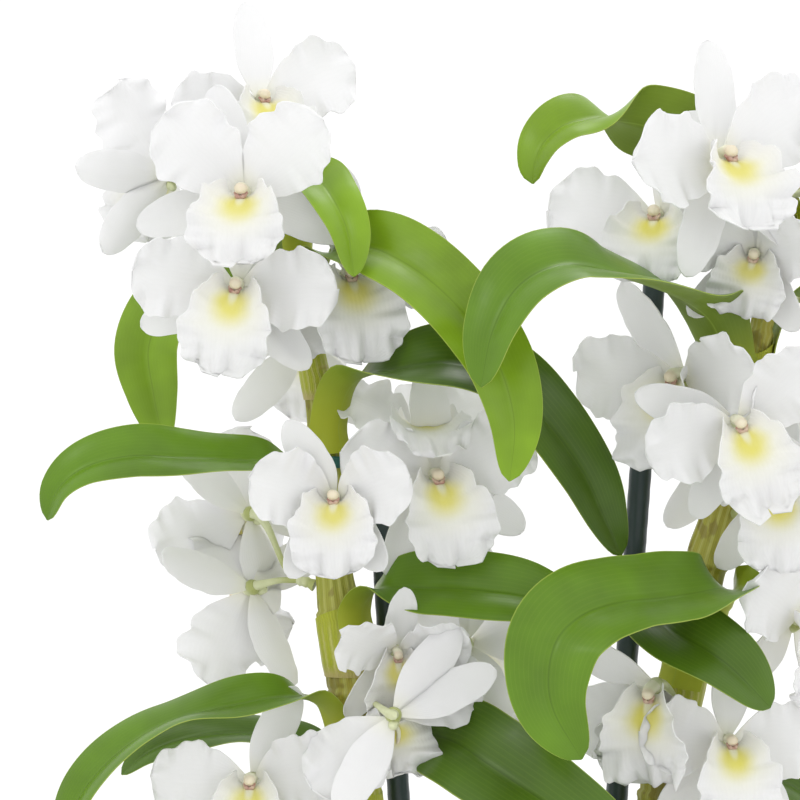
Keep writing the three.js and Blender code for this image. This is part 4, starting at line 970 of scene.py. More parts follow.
def bark_shape(settings, stems):
    """Bark chips heaped over a solid bed that fills the pot."""
    height, rim, base, wall = pot_sizes(settings)
    level = settings.bark_level / MM
    filled = (level - wall) / (height - RIM_HEIGHT - wall)
    inside = mix(base - wall, rim - RIM_STEP - wall, filled) - BARK_GAP
    foot = base - wall - BARK_GAP
    bed = [(0, wall + 0.4), (foot, wall + 0.4), (inside, level - 3)]
    bed += [(inside * share, level - 1) for share in np.linspace(1, 0, 22)]
    shape = Shape("bark")
    shape.lathe(bed, 72, "bark", lambda angle, z: 1 - 0.01 * (1 + np.sin(angle * 11 + z)))
    for k in range(settings.chip_count):
        spread = math.sqrt((k + 0.5) / settings.chip_count) * (inside - RIM_ROOM)
        half_length = settings.chip_length / MM / 2 * mix(0.5, 1.05, draw(k + 7))
        place = np.append(circle(k * GOLDEN_ANGLE, spread), level + mix(*HEAP, draw(k + 400)))
        clear = min(np.linalg.norm(place[:2] - stem) for stem in stems)
        if clear > half_length * 0.9 + STEM_ROOM:
            reach = (inside - 1.0 - spread) / half_length
            shape.join(chip_shape(k, place, half_length * min(1, max(0.45, reach))))
    return shape


# ---- Finishes ----

# The shared node groups that have been built, by the function that builds each.
GROUPS = {}


def opaque(tone, share=1.0):
    """A colour setting as a shader colour, made deeper by a share."""
    return tuple(channel * share for channel in tone) + (1.0,)


def set_inputs(tree, node, inputs):
    """Gives a node its values, or links it to the sockets that they come from."""
    for key, value in inputs.items():
        if isinstance(value, bpy.types.NodeSocket):
            tree.links.new(value, node.inputs[key])
        else:
            node.inputs[key].default_value = value


def add_node(tree, kind, inputs, **settings):
    """The outputs of a new shader node."""
    node = tree.nodes.new(kind)
    for key, value in settings.items():
        setattr(node, key, value)
    set_inputs(tree, node, inputs)
    return node.outputs


def math_node(tree, operation, first, second=0.0, third=0.0):
    """A number worked out from one, two or three others."""
    return add_node(tree, "ShaderNodeMath", {0: first, 1: second, 2: third}, operation=operation)[0]


def times(tree, first, second):
    """One number times another."""
    return math_node(tree, "MULTIPLY", first, second)


def weighted(tree, first, first_share, second, second_share):
    """The sum of two numbers, each times its share."""
    return math_node(tree, "MULTIPLY_ADD", first, first_share, times(tree, second, second_share))


def ramp(tree, value, low, high, kind="SMOOTHSTEP"):
    """A step of a number from 0 at low to 1 at high."""
    inputs = {"Value": value, "From Min": low, "From Max": high}
    return add_node(tree, "ShaderNodeMapRange", inputs, interpolation_type=kind)["Result"]


def blend(tree, share, first, second):
    """One colour mixed into another by a share."""
    return add_node(tree, "ShaderNodeMix", {0: share, 6: first, 7: second}, data_type="RGBA")[2]


def parted(tree, vector):
    """The three numbers of a vector."""
    return add_node(tree, "ShaderNodeSeparateXYZ", {0: vector})


def joined(tree, x, y, z=0.0):
    """A vector of three numbers."""
    return add_node(tree, "ShaderNodeCombineXYZ", {0: x, 1: y, 2: z})[0]


def noise(tree, place, scale, detail):
    """Even noise round 0.5."""
    return add_node(tree, "ShaderNodeTexNoise", {"Vector": place, "Scale": scale, "Detail": detail})["Fac"]


def new_group(name, vector, values, outputs):
    """An empty shader node group with a vector input, named numbers and named outputs."""
    group = bpy.data.node_groups.new(name, "ShaderNodeTree")
    group.interface.new_socket(vector, in_out="INPUT", socket_type="NodeSocketVector")
    for label, value in values.items():
        socket = group.interface.new_socket(label, in_out="INPUT", socket_type="NodeSocketFloat")
        socket.default_value = value
    for label in outputs:
        group.interface.new_socket(label, in_out="OUTPUT", socket_type="NodeSocketFloat")
    return group, group.nodes.new("NodeGroupInput").outputs, group.nodes.new("NodeGroupOutput")


def veins_group():
    """Fine parallel veins that run the length of a blade."""
    group, given, result = new_group("Parallel Veins", "Surface", {"Count": 20.0, "Waver": 0.3, "Width": 0.5},
                                     ("Line", "Height"))
    across, along, _ = parted(group, given["Surface"])
    drift = noise(group, joined(group, across, times(group, along, 3.0)), 3.0, 2.0)
    place = math_node(group, "MULTIPLY_ADD", across, given["Count"], times(group, drift, given["Waver"]))
    crests = math_node(group, "COSINE", times(group, place, 2 * math.pi))
    height = math_node(group, "MULTIPLY_ADD", crests, 0.5, 0.5)
    limit = math_node(group, "SUBTRACT", 1.0, given["Width"])
    set_inputs(group, result, {"Line": ramp(group, height, limit, 1.0, "LINEAR"), "Height": height})
    return group


def edges_group():
    """Masks of a blade's two edges and its midrib."""
    group, given, result = new_group("Edges and Midrib", "Surface", {"Edge": 0.03, "Midrib": 0.03},
                                     ("Edge", "Midrib"))
    across = parted(group, given["Surface"])[0]
    away = math_node(group, "ABSOLUTE", math_node(group, "SUBTRACT", across, 0.5))
    inner = math_node(group, "SUBTRACT", 0.5, given["Edge"])
    set_inputs(group, result, {"Edge": ramp(group, away, inner, 0.5, "LINEAR"),
                               "Midrib": ramp(group, away, given["Midrib"], 0.0, "LINEAR")})
    return group


def mottle_group():
    """Soft uneven patches over a surface, and a finer grain."""
    group, given, result = new_group("Mottle", "Place", {"Scale": 20.0, "Stretch": 1.0, "Contrast": 0.5},
                                     ("Patch", "Grain"))
    x, y, z = parted(group, given["Place"])
    place = joined(group, x, y, times(group, z, given["Stretch"]))
    low = math_node(group, "SUBTRACT", 0.5, given["Contrast"])
    high = math_node(group, "ADD", 0.5, given["Contrast"])
    patch = ramp(group, noise(group, place, given["Scale"], 3.0), low, high, "LINEAR")
    grain = noise(group, place, times(group, given["Scale"], 9.0), 4.0)
    set_inputs(group, result, {"Patch": patch, "Grain": grain})
    return group


def oval_group():
    """A soft oval patch in the middle of a blade."""
    sizes = {"Along": 0.4, "Half Width": 0.3, "Half Length": 0.3, "Softness": 0.5}
    group, given, result = new_group("Oval Patch", "Surface", sizes, ("Mask",))
    across, along, _ = parted(group, given["Surface"])
    x = math_node(group, "DIVIDE", math_node(group, "SUBTRACT", across, 0.5), given["Half Width"])
    y = math_node(group, "DIVIDE", math_node(group, "SUBTRACT", along, given["Along"]), given["Half Length"])
    away = math_node(group, "SQRT", math_node(group, "ADD", times(group, x, x), times(group, y, y)))
    inner = math_node(group, "SUBTRACT", 1.0, given["Softness"])
    set_inputs(group, result, {"Mask": ramp(group, away, 1.0, inner)})
    return group


class Finish:
    """A material in the making: its shader, its coordinates and the colour that it has so far."""

    def __init__(self, name, tone, roughness, specular, coat=0.0, subsurface=0.0):
        self.material = bpy.data.materials.new(name)
        self.material.use_nodes = True
        self.tree = self.material.node_tree
        self.shader = self.tree.nodes["Principled BSDF"]
        self.tone = tone
        where = self.tree.nodes.new("ShaderNodeTexCoord").outputs
        self.surface, self.place = where["UV"], where["Object"]
        self.set({"Roughness": roughness, "Specular IOR Level": specular, "Coat Weight": coat})
        if subsurface:
            self.set({"Subsurface Weight": subsurface, "Subsurface Radius": (1.0, 1.0, 1.0),
                      "Subsurface Scale": 0.003})

    def set(self, inputs):
        """Sets or links inputs of the shader."""
        set_inputs(self.tree, self.shader, inputs)

    def group(self, maker, inputs):
        """Places a shared node group, which is built the first time it is asked for."""
        if maker not in GROUPS:
            GROUPS[maker] = maker()
        node = self.tree.nodes.new("ShaderNodeGroup")
        node.node_tree = GROUPS[maker]
        set_inputs(self.tree, node, inputs)
        return node.outputs

    def veins(self, count, waver, width):
        """Fine parallel veins: their line and height."""
        inputs = {"Surface": self.surface, "Count": count, "Waver": waver, "Width": width}
        return self.group(veins_group, inputs)

    def mottle(self, scale, contrast, stretch=1.0):
        """Uneven patches and a fine grain."""
        inputs = {"Place": self.place, "Scale": scale, "Stretch": stretch, "Contrast": contrast}
        return self.group(mottle_group, inputs)

    def oval(self, along, half_width, half_length, softness):
        """The mask of a soft oval patch at a share of the length."""
        inputs = {"Surface": self.surface, "Along": along, "Half Width": half_width,
                  "Half Length": half_length, "Softness": softness}
        return self.group(oval_group, inputs)["Mask"]

    def rise(self, low, high):
        """A soft step along the length of the surface."""
        return ramp(self.tree, parted(self.tree, self.surface)[1], low, high)

    def lay(self, tone, mask, share=None):
        """Lays a colour over the one so far, by a share of a mask."""
        if share is not None:
            mask = times(self.tree, mask, share)
        self.tone = blend(self.tree, mask, self.tone, tone)

    def sheen(self, grain, spread, least):
        """Makes the roughness uneven."""
        self.set({"Roughness": math_node(self.tree, "MULTIPLY_ADD", grain, spread, least)})

    def done(self, height, distance, strength):
        """The material, with its colour and with relief from a height."""
        bump = {"Height": height, "Distance": distance, "Strength": strength}
        normal = add_node(self.tree, "ShaderNodeBump", bump)["Normal"]
        self.set({"Base Color": self.tone, "Normal": normal})
        return self.material


def petal_material(settings):
    """White petals with faint veins and a cream base."""
    finish = Finish("Petal", opaque(settings.petal_colour), roughness=0.5, specular=0.35, subsurface=0.45)
    veins = finish.veins(count=17.0, waver=1.1, width=0.35)
    mottle = finish.mottle(scale=60.0, contrast=0.3)
    finish.lay(opaque(settings.petal_shade), mottle["Patch"], 0.35)
    finish.lay(opaque(settings.petal_shade), veins["Line"], 0.14)
    finish.lay(opaque(settings.cream_colour), finish.rise(0.26, 0.0), 0.55)
    relief = weighted(finish.tree, mottle["Grain"], 0.5, veins["Height"], -0.5)
    return finish.done(relief, distance=0.00006, strength=0.5)


def lip_material(settings):
    """The lip: white with a yellow throat that fades into a cream ring, and a paler keel."""
    finish = Finish("Lip", opaque(settings.petal_colour), roughness=0.5, specular=0.35, subsurface=0.45)
    veins = finish.veins(count=21.0, waver=1.0, width=0.35)
    mottle = finish.mottle(scale=90.0, contrast=0.3)
    ring = finish.oval(along=0.32, half_width=0.58, half_length=0.52, softness=0.8)
    throat = finish.oval(along=0.29, half_width=0.34, half_length=0.34, softness=0.75)
    keel = finish.oval(along=0.1, half_width=0.09, half_length=0.26, softness=0.6)
    finish.lay(opaque(settings.petal_shade), veins["Line"], 0.2)
    finish.lay(opaque(settings.cream_colour), ring, 0.9)
    uneven = math_node(finish.tree, "MULTIPLY_ADD", mottle["Patch"], 0.25, 0.75)
    beside_keel = math_node(finish.tree, "MULTIPLY_ADD", keel, -0.75, 1.0)
    finish.lay(opaque(settings.throat_colour), times(finish.tree, throat, uneven), beside_keel)
    relief = weighted(finish.tree, mottle["Grain"], 0.8, veins["Height"], -0.5)
    return finish.done(relief, distance=0.00014, strength=0.5)


def column_material(settings):
    """The column: cream, with a pinkish anther cap."""
    finish = Finish("Column", opaque(settings.cream_colour), roughness=0.45, specular=0.4, subsurface=0.1)
    mottle = finish.mottle(scale=250.0, contrast=0.25)
    uneven = math_node(finish.tree, "MULTIPLY_ADD", mottle["Patch"], 0.5, 0.5)
    finish.lay(opaque(settings.cap_colour), finish.rise(0.6, 0.8), uneven)
    return finish.done(mottle["Grain"], distance=0.0003, strength=0.5)


def mark_material(settings):
    """The hollow under the anther cap: blotched purple-brown."""
    finish = Finish("Column Mark", opaque(settings.cap_colour), roughness=0.4, specular=0.4, subsurface=0.08)
    mottle = finish.mottle(scale=420.0, contrast=0.2)
    blotch = math_node(finish.tree, "MULTIPLY_ADD", mottle["Patch"], 0.75, 0.25)
    finish.lay(opaque(settings.anther_colour), blotch)
    return finish.done(mottle["Grain"], distance=0.0003, strength=0.5)


def stalk_material(settings):
    """Flower stems: green at the cane, paler towards the bloom, with uneven patches."""
    finish = Finish("Flower Stalk", opaque(settings.stalk_colour), roughness=0.45, specular=0.4,
                    subsurface=0.08)
    mottle = finish.mottle(scale=120.0, contrast=0.3)
    finish.lay(opaque(settings.spur_colour), finish.rise(0.1, 0.7))
    finish.lay(opaque(settings.stalk_colour), mottle["Patch"], 0.4)
    return finish.done(mottle["Grain"], distance=0.0004, strength=0.5)


def leaf_material(settings, name, tone, dull=False):
    """Leaf blade: mottled green with fine parallel veins, a pale edge and a midrib, which on the upper side
    is darkened as painted shade in its crease; the underside is dull, with a pale midrib.
    """
    finish = Finish(name, opaque(tone, settings.shade), roughness=0.34, specular=0.36)
    count = settings.vein_count
    veins = finish.veins(count=count, waver=0.25, width=0.3)
    fine = finish.veins(count=count * 3.1, waver=0.5, width=0.5)
    edges = finish.group(edges_group, {"Surface": finish.surface, "Edge": 0.014, "Midrib": 0.016})
    mottle = finish.mottle(scale=26.0, contrast=0.2)
    finish.lay(opaque(tone), mottle["Patch"])
    finish.lay(opaque(settings.sheath_colour), finish.rise(0.24, 0.04), 0.75)
    finish.lay(opaque(settings.vein_colour), veins["Line"], 0.05)
    finish.lay(opaque(tone, 0.5), fine["Line"], 0.08)
    # Painted shade: on the upper side the midrib's crease is darkened to a deep copy of the tone; the
    # underside's midrib takes the pale vein colour.
    finish.lay(opaque(settings.vein_colour) if dull else opaque(tone, 0.45), edges["Midrib"], 0.5)
    finish.lay(opaque(settings.edge_colour), edges["Edge"], 0.7)
    finish.sheen(mottle["Grain"], 0.2, 0.48 if dull else 0.24)
    relief = weighted(finish.tree, veins["Height"], -0.3, fine["Height"], -0.3)
    return finish.done(relief, distance=0.00004, strength=0.5)


def sheath_material(settings):
    """Leaf sheath: yellow-green with pale ribs, drying to straw at its foot."""
    finish = Finish("Leaf Sheath", opaque(settings.sheath_colour, 0.75), roughness=0.5, specular=0.4,
                    coat=0.05)
    ribs = finish.veins(count=16.0, waver=0.5, width=0.6)
    veins = finish.veins(count=47.0, waver=2.0, width=0.5)
    mottle = finish.mottle(scale=55.0, contrast=0.2, stretch=0.4)
    finish.lay(opaque(settings.sheath_colour), mottle["Patch"])
    finish.lay(opaque(settings.rib_colour), ribs["Line"], finish.rise(0.95, 0.55))
    finish.lay(opaque(settings.sheath_colour, 0.5), veins["Line"], 0.2)
    finish.lay(opaque(settings.dry_colour), finish.rise(0.22, 0.0), 0.8)
    relief = math_node(finish.tree, "ADD", ribs["Height"], veins["Height"])
    return finish.done(relief, distance=0.0003, strength=0.6)


def cane_material(settings):
    """Cane: olive and golden, with pale rib crests as painted highlight, brown in the fine grooves as painted
    shade, and brown specks.
    """
    finish = Finish("Cane", opaque(settings.olive_colour), roughness=0.5, specular=0.4, coat=0.08)
    ribs = finish.veins(count=float(settings.rib_count), waver=0.4, width=0.6)
    fine = finish.veins(count=settings.rib_count * 4.3, waver=2.5, width=0.5)
    mottle = finish.mottle(scale=32.0, contrast=0.2, stretch=0.5)
    spots = finish.mottle(scale=110.0, contrast=0.1, stretch=0.5)
    finish.lay(opaque(settings.golden_colour), mottle["Patch"])
    # Painted highlight: the pale colour lies on the crests of the ribs.
    finish.lay(opaque(settings.rib_highlight_colour), ribs["Line"], 0.6)
    # Painted shade: brown lies in the fine grooves. The brown specks on the next line are the cane's own
    # colour.
    finish.lay(opaque(settings.groove_shade_and_speck_colour), fine["Line"], 0.22)
    finish.lay(opaque(settings.groove_shade_and_speck_colour), ramp(finish.tree, spots["Patch"], 0.75, 1.0), 0.5)
    relief = math_node(finish.tree, "MULTIPLY_ADD", fine["Height"], -0.4, spots["Grain"])
    return finish.done(relief, distance=0.0003, strength=0.6)


def plastic_material(name, tone, roughness, scale, coat):
    """Moulded or coated plastic with a faint pebble and uneven sheen."""
    finish = Finish(name, opaque(tone), roughness=roughness, specular=0.5, coat=coat)
    mottle = finish.mottle(scale=scale, contrast=0.3)
    finish.lay(opaque([min(1.0, channel * 1.25 + 0.006) for channel in tone]), mottle["Patch"], 0.5)
    finish.sheen(mottle["Grain"], 0.22, roughness - 0.11)
    return finish.done(mottle["Grain"], distance=0.0003, strength=0.4)


def bark_material(settings):
    """Damp bark chips: flaky layers from dark brown to tan."""
    finish = Finish("Bark", opaque(settings.bark_colour), roughness=0.85, specular=0.3)
    layers = finish.mottle(scale=90.0, contrast=0.2, stretch=3.0)
    broad = finish.mottle(scale=35.0, contrast=0.15)
    finish.lay(opaque(settings.bark_light), broad["Patch"])
    finish.lay(opaque(settings.bark_dark), layers["Patch"], 0.6)
    relief = math_node(finish.tree, "ADD", layers["Grain"], layers["Patch"])
    return finish.done(relief, distance=0.0015, strength=0.8)


def floor_material(tone):
    """An even, pale floor with the faintest patches."""
    finish = Finish("Studio Floor", opaque(tone), roughness=0.7, specular=0.2)
    mottle = finish.mottle(scale=3.0, contrast=0.5)
    finish.lay(opaque(tone, 0.97), mottle["Patch"])
    finish.set({"Base Color": finish.tone})
    return finish.material


# ---- Settings ----


def tint(name, default, description):
    """A colour setting."""
    return FloatVectorProperty(name=name, description=description, default=default, size=3, subtype="COLOR",
                               min=0.0, max=1.0)


def size(name, default, description):
    """A length setting, in metres."""
    return FloatProperty(name=name, description=description, default=default, unit="LENGTH", min=0.0)


def power(name, default, description):
    """The power of a light, in watts."""
    return FloatProperty(name=name, description=description, default=default, unit="POWER", min=0.0)


def fraction(name, default, description):
    """A setting from 0 to 1."""
    return FloatProperty(name=name, description=description, default=default, min=0.0, max=1.0)


class OrchidBloomSettings(bpy.types.PropertyGroup):
    sepal_length: size("Sepal Length", 0.044, "Length of the three narrow sepals")
    sepal_width: size("Sepal Width", 0.018, "Greatest width of a sepal")
    petal_length: size("Petal Length", 0.043, "Length of the two broad petals")
    petal_width: size("Petal Width", 0.036, "Greatest width of a petal")
    lip_length: size("Lip Length", 0.038, "Length of the lip from the column to its frill")
    lip_width: size("Lip Width", 0.041, "Width of the lip laid flat")
    petal_thickness: size("Petal Thickness", 0.0005, "Thickness of petals and lip")
    ruffle: size("Ruffle", 0.0017, "Height of the waves along the edges")
    petal_colour: tint("Petals", (0.825, 0.825, 0.83), "White of the petals")
    petal_shade: tint("Petal Shade", (0.77, 0.77, 0.78), "Grey-white of the veins and soft patches")
    cream_colour: tint("Cream", (0.86, 0.85, 0.66), "Cream at the base of the petals and round the throat")
    throat_colour: tint("Throat", (0.75, 0.67, 0.10), "Yellow of the throat")
    cap_colour: tint("Anther Cap", (0.80, 0.69, 0.53), "Pinkish cream of the anther cap")
    anther_colour: tint("Mark", (0.36, 0.15, 0.13), "Purple-brown mark under the cap")
    stalk_colour: tint("Stalks", (0.42, 0.46, 0.16), "Green of the flower stalks")
    spur_colour: tint("Spurs", (0.74, 0.77, 0.52), "Pale green of the spur and hub")


class OrchidLeafSettings(bpy.types.PropertyGroup):
    thickness: size("Thickness", 0.0009, "Thickness of a leaf")
    fold: fraction("Fold", 0.28, "How far the two halves fold up")
    edge_wave: size("Edge Wave", 0.0009, "Height of the slow waves along the edges")
    belly: size("Belly", 0.0009, "How far each half of a leaf bulges")
    sheath_length: size("Sheath Length", 0.028, "Length of the sleeve under each leaf")
    vein_count: FloatProperty(name="Veins", description="Main veins across a leaf", default=19.0, min=1.0)
    fresh_colour: tint("Fresh Green", (0.24, 0.42, 0.012), "Young, yellowish leaves")
    green_colour: tint("Green", (0.133, 0.275, 0.008), "Grown leaves")
    dark_colour: tint("Dark Green", (0.082, 0.17, 0.008), "Old leaves")
    shade: fraction("Shade", 0.62, "Depth of the darker patches")
    underside_colour: tint("Underside", (0.19, 0.29, 0.02), "Dull green of the undersides")
    vein_colour: tint("Veins", (0.31, 0.43, 0.06), "Pale green of the veins")
    edge_colour: tint("Edge", (0.40, 0.49, 0.08), "Pale yellow-green rim of the blade")
    sheath_colour: tint("Sheath", (0.48, 0.52, 0.028), "Yellow-green of sheath and leaf base")
    rib_colour: tint("Sheath Ribs", (0.52, 0.52, 0.13), "Pale ribs of a sheath")
    dry_colour: tint("Dry Sheath", (0.50, 0.40, 0.17), "Straw colour of the dried foot of a sheath")


class OrchidCaneSettings(bpy.types.PropertyGroup):
    rib_count: IntProperty(name="Ribs", description="Ribs round a cane", default=14, min=3, max=60)
    rib_depth: size("Rib Depth", 0.00045, "Depth of the grooves between ribs")
    joint_spacing: size("Joint Spacing", 0.033, "Distance between two joints")
    joint_swell: size("Joint Swell", 0.0009, "How far a joint stands proud")
    olive_colour: tint("Olive", (0.33, 0.36, 0.045), "Olive green of young internodes")
    golden_colour: tint("Golden", (0.45, 0.39, 0.05), "Golden brown of ripe internodes")
    # The pale crests are a painted highlight and the brown of the grooves is painted shade. The brown specks
    # are the cane's own colour.
    rib_highlight_colour: tint("Pale Ribs", (0.53, 0.54, 0.15), "Pale crest of the ribs")
    groove_shade_and_speck_colour: tint("Grooves", (0.17, 0.12, 0.025), "Brown of grooves and specks")


class OrchidSupportSettings(bpy.types.PropertyGroup):
    stake_radius: size("Stake Radius", 0.0047, "Radius of the coated rods")
    clip_wall: size("Clip Wall", 0.0016, "Thickness of a clip's band")
    clip_height: size("Clip Height", 0.005, "Height of a clip's band")
    clip_clearance: size("Clip Clearance", 0.0011, "Free space between clip and stems")
    stake_colour: tint("Stakes", (0.012, 0.030, 0.030), "Dark blue-green of the coated stakes")
    clip_colour: tint("Clips", (0.010, 0.10, 0.085), "Dark teal of the clips")


class OrchidPotSettings(bpy.types.PropertyGroup):
    height: size("Height", 0.120, "Height of the pot")
    rim_radius: size("Rim Radius", 0.066, "Radius of the pot's rim")
    base_radius: size("Base Radius", 0.048, "Radius of the pot's foot")
    wall: size("Wall", 0.003, "Thickness of the pot's wall")
    bark_level: size("Bark Level", 0.106, "Height of the bark in the pot")
    chip_length: size("Chip Length", 0.019, "Length of the longest chips")
    chip_count: IntProperty(name="Chips", description="Bark chips on the bed", default=260, min=0, max=600)
    pot_colour: tint("Pot", (0.42, 0.17, 0.10), "Terracotta brown of the pot")
    bark_colour: tint("Bark", (0.17, 0.085, 0.042), "Red-brown of damp bark")
    bark_light: tint("Bark Light", (0.33, 0.20, 0.11), "Tan of the split faces")
    bark_dark: tint("Bark Dark", (0.045, 0.026, 0.016), "Near-black of the outer layers")


class OrchidStageSettings(bpy.types.PropertyGroup):
    floor_size: size("Floor", 3.6, "Width of the floor")
    camera_distance: size("Camera Distance", 1.5, "Distance from the camera to the plant's middle plane")
    camera_side: FloatProperty(name="Camera Side", description="Place of the camera along X", default=-0.0483,
                               unit="LENGTH")
    camera_height: size("Camera Height", 0.422, "Height of the level camera")
    view_width: size("View Width", 0.336, "Width that the picture takes in at the plant's middle plane")
    sky: FloatProperty(name="Sky", description="Strength of the even white surroundings", default=1.1,
                       min=0.0)
    key_power: power("Key", 2.3, "Power of the key light in watts")
    fill_power: power("Fill", 0.95, "Power of the fill light in watts")
    top_power: power("Top", 2.4, "Power of the light above in watts")
    floor_colour: tint("Floor Colour", (0.86, 0.86, 0.86), "Pale floor")


# ---- Operators ----

# Share of a stake's length at which it leaves the bark.
STAKE_AT_BARK = 0.14
# In millimetres.
SENSOR_WIDTH = 36.0
# Place and width of each light, in metres.
LIGHTS = {"Key": ((-0.8, -1.1, 1.4), 0.45), "Fill": ((1.2, -1.0, 0.7), 0.7), "Top": ((0.2, 0.5, 1.6), 0.5)}


class ORCHID_OT_canes(bpy.types.Operator):
    """Build the two ribbed canes"""
    bl_idname = "orchid.canes"
    bl_label = "Canes"

    def execute(self, context):
        settings = context.scene.orchid_cane
        materials = {"cane": cane_material(settings)}
        for cane in CANES:
            shape = cane_shape(cane, settings)
            shape.piece("Cane_" + cane, materials, "cane", "cane_" + cane, smooth_angle=60)
        return {"FINISHED"}


class ORCHID_OT_supports(bpy.types.Operator):
    """Build the stakes and the clips that tie the canes to them"""
    bl_idname = "orchid.supports"
    bl_label = "Stakes and Clips"

    def execute(self, context):
        settings = context.scene.orchid_support
        swell = context.scene.orchid_cane.joint_swell / MM
        coating = plastic_material("Stake Coating", settings.stake_colour, roughness=0.42, scale=45.0,
                                   coat=0.1)
        plastic = plastic_material("Clip Plastic", settings.clip_colour, roughness=0.32, scale=120.0,
                                   coat=0.25)
        for cane, heights in CLIPS.items():
            shape = stake_shape(cane, settings)
            shape.piece("Stake_" + cane, {"stake": coating}, "stake", "stake_" + cane, smooth_angle=40)
            for k, height in enumerate(heights, 1):
                node = f"clip_{cane}_{k}"
                shape = clip_shape(cane, height, settings, swell)
                shape.piece(node.capitalize(), {"clip": plastic}, "clip", node, smooth_angle=40)
        return {"FINISHED"}


class ORCHID_OT_leaves(bpy.types.Operator):
    """Build the strap leaves with their sheaths"""
    bl_idname = "orchid.leaves"
    bl_label = "Leaves"

    def execute(self, context):
        settings = context.scene.orchid_leaf
        tones = {"fresh": settings.fresh_colour, "green": settings.green_colour, "dark": settings.dark_colour}
        blades = {key: leaf_material(settings, f"Leaf {key.capitalize()}", tones[key]) for key in tones}
        underside = leaf_material(settings, "Leaf Underside", settings.underside_colour, dull=True)
        others = {"underside": underside, "sheath": sheath_material(settings)}
        for number, (node, leaf) in enumerate(placed("leaf", LEAVES)):
            materials = {"leaf": blades[leaf.get("tone", "green")], **others}
            shape = leaf_shape(leaf, number, settings)
            shape.piece(node.capitalize() + "_blade", materials, "leaf", node, smooth_angle=75)
        return {"FINISHED"}


class ORCHID_OT_blooms(bpy.types.Operator):
    """Build the sprays of blooms"""
    bl_idname = "orchid.blooms"
    bl_label = "Blooms"

    def execute(self, context):
        settings = context.scene.orchid_bloom
        makers = {"petal": petal_material, "lip": lip_material, "column": column_material,
                  "mark": mark_material, "stalk": stalk_material}
        materials = {finish: maker(settings) for finish, maker in makers.items()}
        count = 0
        for node, spray in placed("spray", SPRAYS):
            shape = spray_shape(spray, count, settings)
            shape.piece(node.capitalize() + "_blooms", materials, "bloom", node, smooth_angle=75)
            count += len(spray["blooms"])
        return {"FINISHED"}


class ORCHID_OT_pot(bpy.types.Operator):
    """Build the pot and its bark"""
    bl_idname = "orchid.pot"
    bl_label = "Pot and Bark"

    def execute(self, context):
        settings = context.scene.orchid_pot
        plastic = plastic_material("Pot Plastic", settings.pot_colour, roughness=0.5, scale=30.0, coat=0.05)
        pot_shape(settings).piece("Pot_shell", {"pot": plastic}, "pot", "pot", smooth_angle=50)
        stems = [np.array(line[1][1:3]) for line in CANES.values()]
        stems += [mix(*np.asarray(ends, float), STAKE_AT_BARK)[:2] for ends in STAKES.values()]
        shape = bark_shape(settings, stems)
        shape.piece("Bark_chips", {"bark": bark_material(settings)}, "bark", "bark", smooth_angle=25)
        return {"FINISHED"}


def add_floor(settings):
    """A wide floor under the pot."""
    corners = circle(np.radians([225, 315, 45, 135]), settings.floor_size / math.sqrt(2))
    mesh = bpy.data.meshes.new("Floor")
    mesh.from_pydata([(x, y, 0) for x, y in corners], [], [(0, 1, 2, 3)])
    mesh.materials.append(floor_material(settings.floor_colour))
    return new_object("Floor", mesh)


def add_world(strength):
    """Even white surroundings."""
    world = bpy.data.worlds.new("Studio")
    world.use_nodes = True
    background = world.node_tree.nodes["Background"]
    set_inputs(world.node_tree, background, {"Color": (1, 1, 1, 1), "Strength": strength})
    bpy.context.scene.world = world


def add_light(name, target, watts):
    """A soft square light that looks at a place."""
    place, width = LIGHTS[name]
    data = bpy.data.lights.new(name, "AREA")
    data.shape = "SQUARE"
    data.size = width
    data.energy = watts
    lamp = new_object(name, data)
    lamp.location = place
    lamp.rotation_euler = (Vector(target) - Vector(place)).to_track_quat("-Z", "Y").to_euler()
    return lamp


def add_camera(settings):
    """A level camera that looks along Y and takes in the blooms."""
    data = bpy.data.cameras.new("Camera")
    data.sensor_width = SENSOR_WIDTH
    data.lens = SENSOR_WIDTH * settings.camera_distance / settings.view_width
    camera = new_object("Camera", data)
    camera.location = (settings.camera_side, -settings.camera_distance, settings.camera_height)
    camera.rotation_euler = (math.pi / 2, 0, 0)
    bpy.context.scene.camera = camera


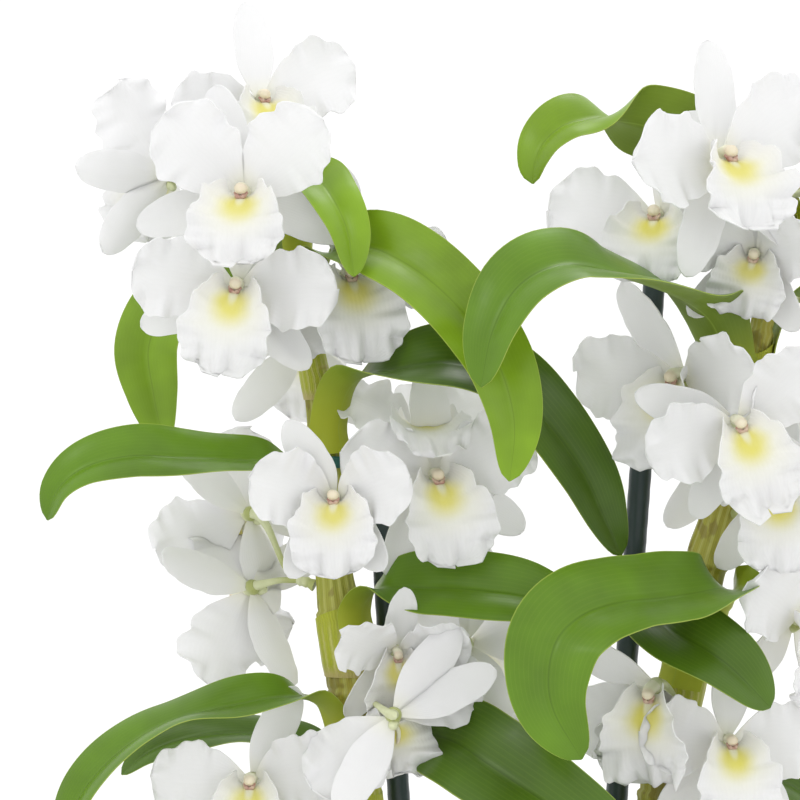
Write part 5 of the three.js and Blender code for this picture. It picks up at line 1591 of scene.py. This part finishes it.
class ORCHID_OT_stage(bpy.types.Operator):
    """Set the floor, the light and the camera"""
    bl_idname = "orchid.stage"
    bl_label = "Stage"

    def execute(self, context):
        settings = context.scene.orchid_stage
        middle = (settings.camera_side, 0, settings.camera_height)
        floor = add_floor(settings)
        add_world(settings.sky)
        key = add_light("Key", middle, settings.key_power)
        fill = add_light("Fill", middle, settings.fill_power)
        top = add_light("Top", middle, settings.top_power)
        add_camera(settings)
        context.scene.view_settings.view_transform = "Standard"
        return {"FINISHED"}


class ORCHID_PT_panel(bpy.types.Panel):
    """Lists the orchid's pieces and their settings"""
    bl_idname = "ORCHID_PT_panel"
    bl_label = "Dendrobium Orchid"
    bl_space_type = "VIEW_3D"
    bl_region_type = "UI"
    bl_category = "Orchid"

    def draw(self, context):
        for operator, (name, _) in PARTS.items():
            self.layout.operator(operator.bl_idname)
            group = getattr(context.scene, name)
            box = self.layout.box()
            for key in group.bl_rna.properties.keys():
                if key not in {"rna_type", "name"}:
                    box.prop(group, key)


# Each operator with the settings that it builds from, in the order in which they run.
PARTS = {
    ORCHID_OT_canes: ("orchid_cane", OrchidCaneSettings),
    ORCHID_OT_supports: ("orchid_support", OrchidSupportSettings),
    ORCHID_OT_leaves: ("orchid_leaf", OrchidLeafSettings),
    ORCHID_OT_blooms: ("orchid_bloom", OrchidBloomSettings),
    ORCHID_OT_pot: ("orchid_pot", OrchidPotSettings),
    ORCHID_OT_stage: ("orchid_stage", OrchidStageSettings),
}
CLASSES = (*(kind for _, kind in PARTS.values()), *PARTS, ORCHID_PT_panel)


def register():
    """Adds the classes and hangs the settings on the scene."""
    for kind in CLASSES:
        bpy.utils.register_class(kind)
    for name, kind in PARTS.values():
        setattr(bpy.types.Scene, name, PointerProperty(type=kind))


def unregister():
    """Takes the settings and classes away again."""
    for name, _ in PARTS.values():
        delattr(bpy.types.Scene, name)
    for kind in reversed(CLASSES):
        bpy.utils.unregister_class(kind)


def main():
    """Builds every piece and the stage."""
    register()
    bpy.ops.orchid.canes()
    bpy.ops.orchid.supports()
    bpy.ops.orchid.leaves()
    bpy.ops.orchid.blooms()
    bpy.ops.orchid.pot()
    bpy.ops.orchid.stage()


if __name__ == "__main__":
    main()
